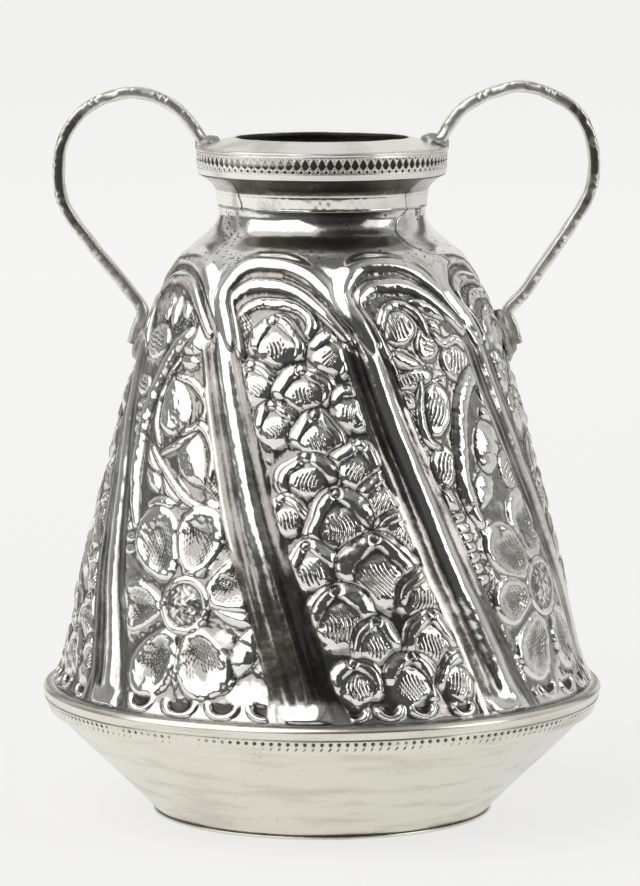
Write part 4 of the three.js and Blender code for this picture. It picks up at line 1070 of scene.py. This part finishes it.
slope = [(24.5 - 6.8 * t, 133.18 + 1.80 * t) for t in np.linspace(0, 1, 22)]
mouth = [(25.0, RIM_TOP), (25.10, 132.7), (25.12, 132.9), (24.98, 133.1), (24.76, 133.2)] + slope
mouth += [(17.45, 135.0), (17.26, 134.95), (MOUTH_RADIUS, 134.8), (MOUTH_RADIUS, 134.3)]
mouth += [(23.95, 132.62), (23.95, RIM_TOP)]
mouth_silver = silver("mouth_silver", (0.93, 0.91, 0.86), 0.28, oxide_and_painted_shade=1.0, tarnish=0.50, specks=2.0,
                      scratch=(1.5, 1.5, 1.5), scratch_depth=0.02)
turned_piece("mouth_cone", mouth, 512, mouth_change, mouth_silver, "mouth_plate",
             crease=50)

# Handles: strips of silver, 5 mm wide and 2.3 mm thick, bent by hand to two different lines. Their
# outer faces are dinted along both edges by a punch, their flanks are filed a little round, and they
# end on the mouth plate above and on the shoulder below.
HALF_THICK, HALF_WIDE = 1.15, 2.5
RIM_END = 23.6
SHOULDER = 100.1
TAIL_LENGTH = 6.2
INSIDE_LOOP = (38, 122)
# Side, gap at the shoulder, farthest reach, crown, and the bend as shares of reach and crown
BENDS = {
    "left": (-1, 0.0, 52.25, 143.75, [
        (-0.03, 0.74), (0, 0.779), (0.187, 0.931), (0.47, 1), (0.782, 0.94), (0.963, 0.792), (1, 0.63),
        (0.966, 0.492), (0.773, 0.306), (0.532, 0.111)]),
    "right": (1, 1.2, 54.0, 144.88, [
        (-0.03, 0.73), (0, 0.771), (0.145, 0.906), (0.409, 0.991), (0.574, 1), (0.859, 0.91),
        (0.959, 0.807), (1, 0.67), (0.975, 0.537), (0.831, 0.366), (0.647, 0.185), (0.548, 0.085)])}
handle_silver = silver("strip_silver", (0.93, 0.915, 0.87), 0.34, oxide_and_painted_shade=0.9, tarnish=0.35, specks=1.2,
                       scratch=(1.2, 5.0, 1.2), scratch_depth=0.022, wave_depth=0.10, wave_scale=0.35)


def refined(outline, pitch):
    """A closed outline with points added so that none of its sides is longer than the pitch."""
    full = []
    for here, after in zip(outline, np.roll(outline, -1, 0)):
        count = max(1, math.ceil(np.hypot(*(after - here)) / pitch))
        full.extend(here + (after - here) * t for t in np.arange(count) / count)
    return np.array(full)


def tube(rows, columns):
    """Rings of point numbers, and the four-sided faces between them."""
    grid = np.arange(rows * columns).reshape(rows, columns)
    on = np.roll(grid, -1, 1)
    return grid, np.stack([grid[:-1], on[:-1], on[1:], grid[1:]], -1).reshape(-1, 4)


def plate_height(reach):
    """Height of the mouth plate's slope at a distance from the axis."""
    return 133.2 + (24.5 - reach) * 0.264


def bent_line(stand_off, far, crown, bend):
    """The strip's middle line as even steps of a centripetal curve through the measured points."""
    knots = [(RIM_END + out * (far - RIM_END), SHOULDER + up * (crown - SHOULDER)) for out, up in bend]
    for drop in (0, 0.5, 1):
        z = SHOULDER - drop * TAIL_LENGTH
        knots.append((girth_at(z) + 1.45 + stand_off, z))
    knots = np.array(knots)
    gaps = np.sqrt(np.hypot(*np.diff(knots, axis=0).T))
    at = np.concatenate([[0], np.cumsum(gaps)])
    t = np.linspace(0, at[-1], 1500)
    line = np.stack([curve_through(at, knots[:, 0], t), curve_through(at, knots[:, 1], t)], 1)
    length = np.concatenate([[0], np.cumsum(np.hypot(*np.diff(line, axis=0).T))])
    even = np.linspace(0, length[-1], 360)
    return np.stack([np.interp(even, length, line[:, 0]), np.interp(even, length, line[:, 1])], 1), even


for word, (side, stand_off, far, crown, bend) in BENDS.items():
    line, even = bent_line(stand_off, far, crown, bend)
    along = np.gradient(line, axis=0)
    along /= np.linalg.norm(along, axis=1, keepdims=True)
    outward = np.stack([-along[:, 1], along[:, 0]], 1)
    outward *= np.sign(outward[120] @ (line[120] - INSIDE_LOOP))
    corners = [(-HALF_THICK, -HALF_WIDE), (HALF_THICK, -HALF_WIDE), (HALF_THICK, HALF_WIDE),
               (-HALF_THICK, HALF_WIDE)]
    section = refined(rounded(corners, 0.5, 5), 0.4)
    o, y, s = np.broadcast_arrays(section[None, :, 0], section[None, :, 1], even[:, None])
    face = np.clip((o - 0.75) / 0.4, 0, 1)
    front_beat = (s / 2.3 + 0.40 * np.sin(0.9 * s)) % 1 - 0.5
    back_beat = (s / 1.9 + 0.5 + 0.35 * np.sin(0.7 * s)) % 1 - 0.5
    front_dints = np.clip(1 - front_beat ** 2 * 9 - ((y + 1.9) / 1.0) ** 2, 0, 1)
    front_dints = front_dints * np.clip(0.7 + 0.5 * np.sin(0.53 * s) + 0.4 * np.sin(1.31 * s + 2), 0, 1.2)
    dints = np.maximum(front_dints, np.clip(1 - back_beat ** 2 * 9 - ((y - 1.5) / 0.9) ** 2, 0, 1))
    o = o - 0.34 * dints * face + 0.05 * np.sin(1.1 * s + y) * (np.abs(o) > 0.9)
    scoop = 0.50 * front_dints * (s < even[-1] - 8) * smooth(o, -0.35, 0.9) * smooth(np.abs(y), 1.3, 2.2)
    y = y - np.sign(y) * scoop
    y = y - np.sign(y) * 0.20 * (o / HALF_THICK) ** 2 * (np.abs(y) > 1.9)
    y = y * (1 + 0.02 * np.sin(0.30 * s + 1) + 0.005 * np.sin(1.7 * s)) * (1 - 0.10 * near(s, 0, 3))
    x = line[:, :1] + o * outward[:, :1]
    z = line[:, 1:] + o * outward[:, 1:]
    seat_z = plate_height(x) + 0.05
    z = np.where((x < 25.3) & (z > 130) & (z < seat_z), seat_z, z)
    x = np.where((z < 108) & (z > 88), np.maximum(x, girth_at(z) + 0.12), x)
    points = np.stack([side * x, y, z], -1)
    grid, quads = tube(len(even), len(section))
    ends = [grid[0, ::-1], grid[-1]]
    facing = np.cross(points[60, 1] - points[60, 0], points[61, 0] - points[60, 0])
    if facing @ (points[60, 0] - points[60].mean(0)) < 0:
        quads = quads[:, ::-1]
        ends = [loop[::-1] for loop in ends]
    flank = smooth(np.abs(y), 2.1, 2.4) * fade(o, 0.5, 0.9) * smooth(o, -0.90, -0.60)
    # Painted shade on the flanks: a dark stretch about 42 mm along each strip, wavering tones, more
    # darkness further along on the left strip, and a pale spot on the right strip
    painted_flank_shade = 0.95 * near(s, 42, 12) + 0.12 * np.sin(0.61 * s) + 0.10 * np.sin(1.9 * s + side)
    painted_flank_shade += 0.02 + (0.34 if side < 0 else 0.20) * smooth(s, 20, 34)
    painted_flank_shade -= 0.9 * np.exp(-((x - 54.2) ** 2 + (z - 134.4) ** 2) / 1.6) * (side > 0)
    dark = np.clip(0.75 * dints * face + flank * painted_flank_shade + 0.5 * near(s, 0, 1.5), 0, 1)
    make_piece(f"bent_strip_{word}", points.reshape(-1, 3), quads, ends, handle_silver, f"{word}_handle",
               dark, crease=60)

# Solder: four lumps that hold the handles, run on with a torch and hardly filed. The upper ones
# sit on the mouth plate around the strips' ends. The lower ones fill the gap between strip and
# shoulder, and the right one is the wider, because that strip stands off the shoulder.
solder_silver = silver("solder_silver", (0.70, 0.685, 0.65), 0.34, oxide_and_painted_shade=0.8, tarnish=0.6, specks=1.0,
                       scratch=(1.3, 1.3, 1.3), scratch_depth=0.05, wave_depth=0.25, wave_scale=0.55)
LUMP_ROWS, LUMP_COLUMNS = 39, 64


def lump(place, centre, sizes, lean, seed, keep):
    """A ball drawn out to three half sizes, leaning about Y, lumpy by six sines, and pressed onto
    its neighbours by keep."""
    rng = np.random.default_rng(seed)
    rise = np.linspace(0, math.pi, LUMP_ROWS + 2)[1:-1, None]
    turn = np.arange(LUMP_COLUMNS) * 2 * math.pi / LUMP_COLUMNS
    ball = np.stack(np.broadcast_arrays(np.sin(rise) * np.cos(turn), np.sin(rise) * np.sin(turn),
                                        -np.cos(rise)), -1)
    ball = np.concatenate([ball.reshape(-1, 3), [[0, 0, -1.0], [0, 0, 1.0]]])
    rough = sum(np.sin(ball @ rng.uniform(-6, 6, 3) + rng.uniform(0, 6)) for _ in range(6))
    ball = ball * (1 + 0.035 * rough)[:, None] * sizes
    c, s = math.cos(lean), math.sin(lean)
    ball = np.stack([ball[:, 0] * c + ball[:, 2] * s, ball[:, 1], ball[:, 2] * c - ball[:, 0] * s], -1)
    ball = keep(ball + centre)
    grid, quads = tube(LUMP_ROWS, LUMP_COLUMNS)
    caps = [[grid.size, b, a] for a, b in zip(grid[0], np.roll(grid[0], -1))]
    caps += [[grid.size + 1, a, b] for a, b in zip(grid[-1], np.roll(grid[-1], -1))]
    make_piece(f"solder_lump_{place}", ball, quads, caps, solder_silver, f"solder_{place}",
               0.42 + 0.3 * (rough < -0.8), crease=80)


PLATE_EDGE = 25.15


def on_plate(ball):
    """Nothing below the mouth plate's slope or outside its edge."""
    reach = np.hypot(ball[:, 0], ball[:, 1])
    ball[:, :2] *= np.minimum(1, PLATE_EDGE / reach)[:, None]
    ball[:, 2] = np.maximum(ball[:, 2], plate_height(np.minimum(reach, PLATE_EDGE)) - 0.25)
    return ball


def on_shoulder(ball):
    """Nothing deeper in the body than the shell's skin."""
    skin = girth_at(ball[:, 2]) - 0.35
    ball[:, :2] *= np.maximum(skin / np.hypot(ball[:, 0], ball[:, 1]), 1)[:, None]
    return ball


lump("left_upper", (-23.0, 0, 133.7), (2.9, 3.3, 1.5), -0.25, 41, on_plate)
lump("right_upper", (22.6, 0, 133.9), (3.0, 3.6, 1.7), 0.28, 42, on_plate)
lump("left_lower", (-36.1, 0, 94.4), (1.5, 3.9, 4.0), 0.26, 43, on_shoulder)
lump("right_lower", (36.2, 0, 95.6), (2.1, 4.0, 5.2), -0.28, 44, on_shoulder)
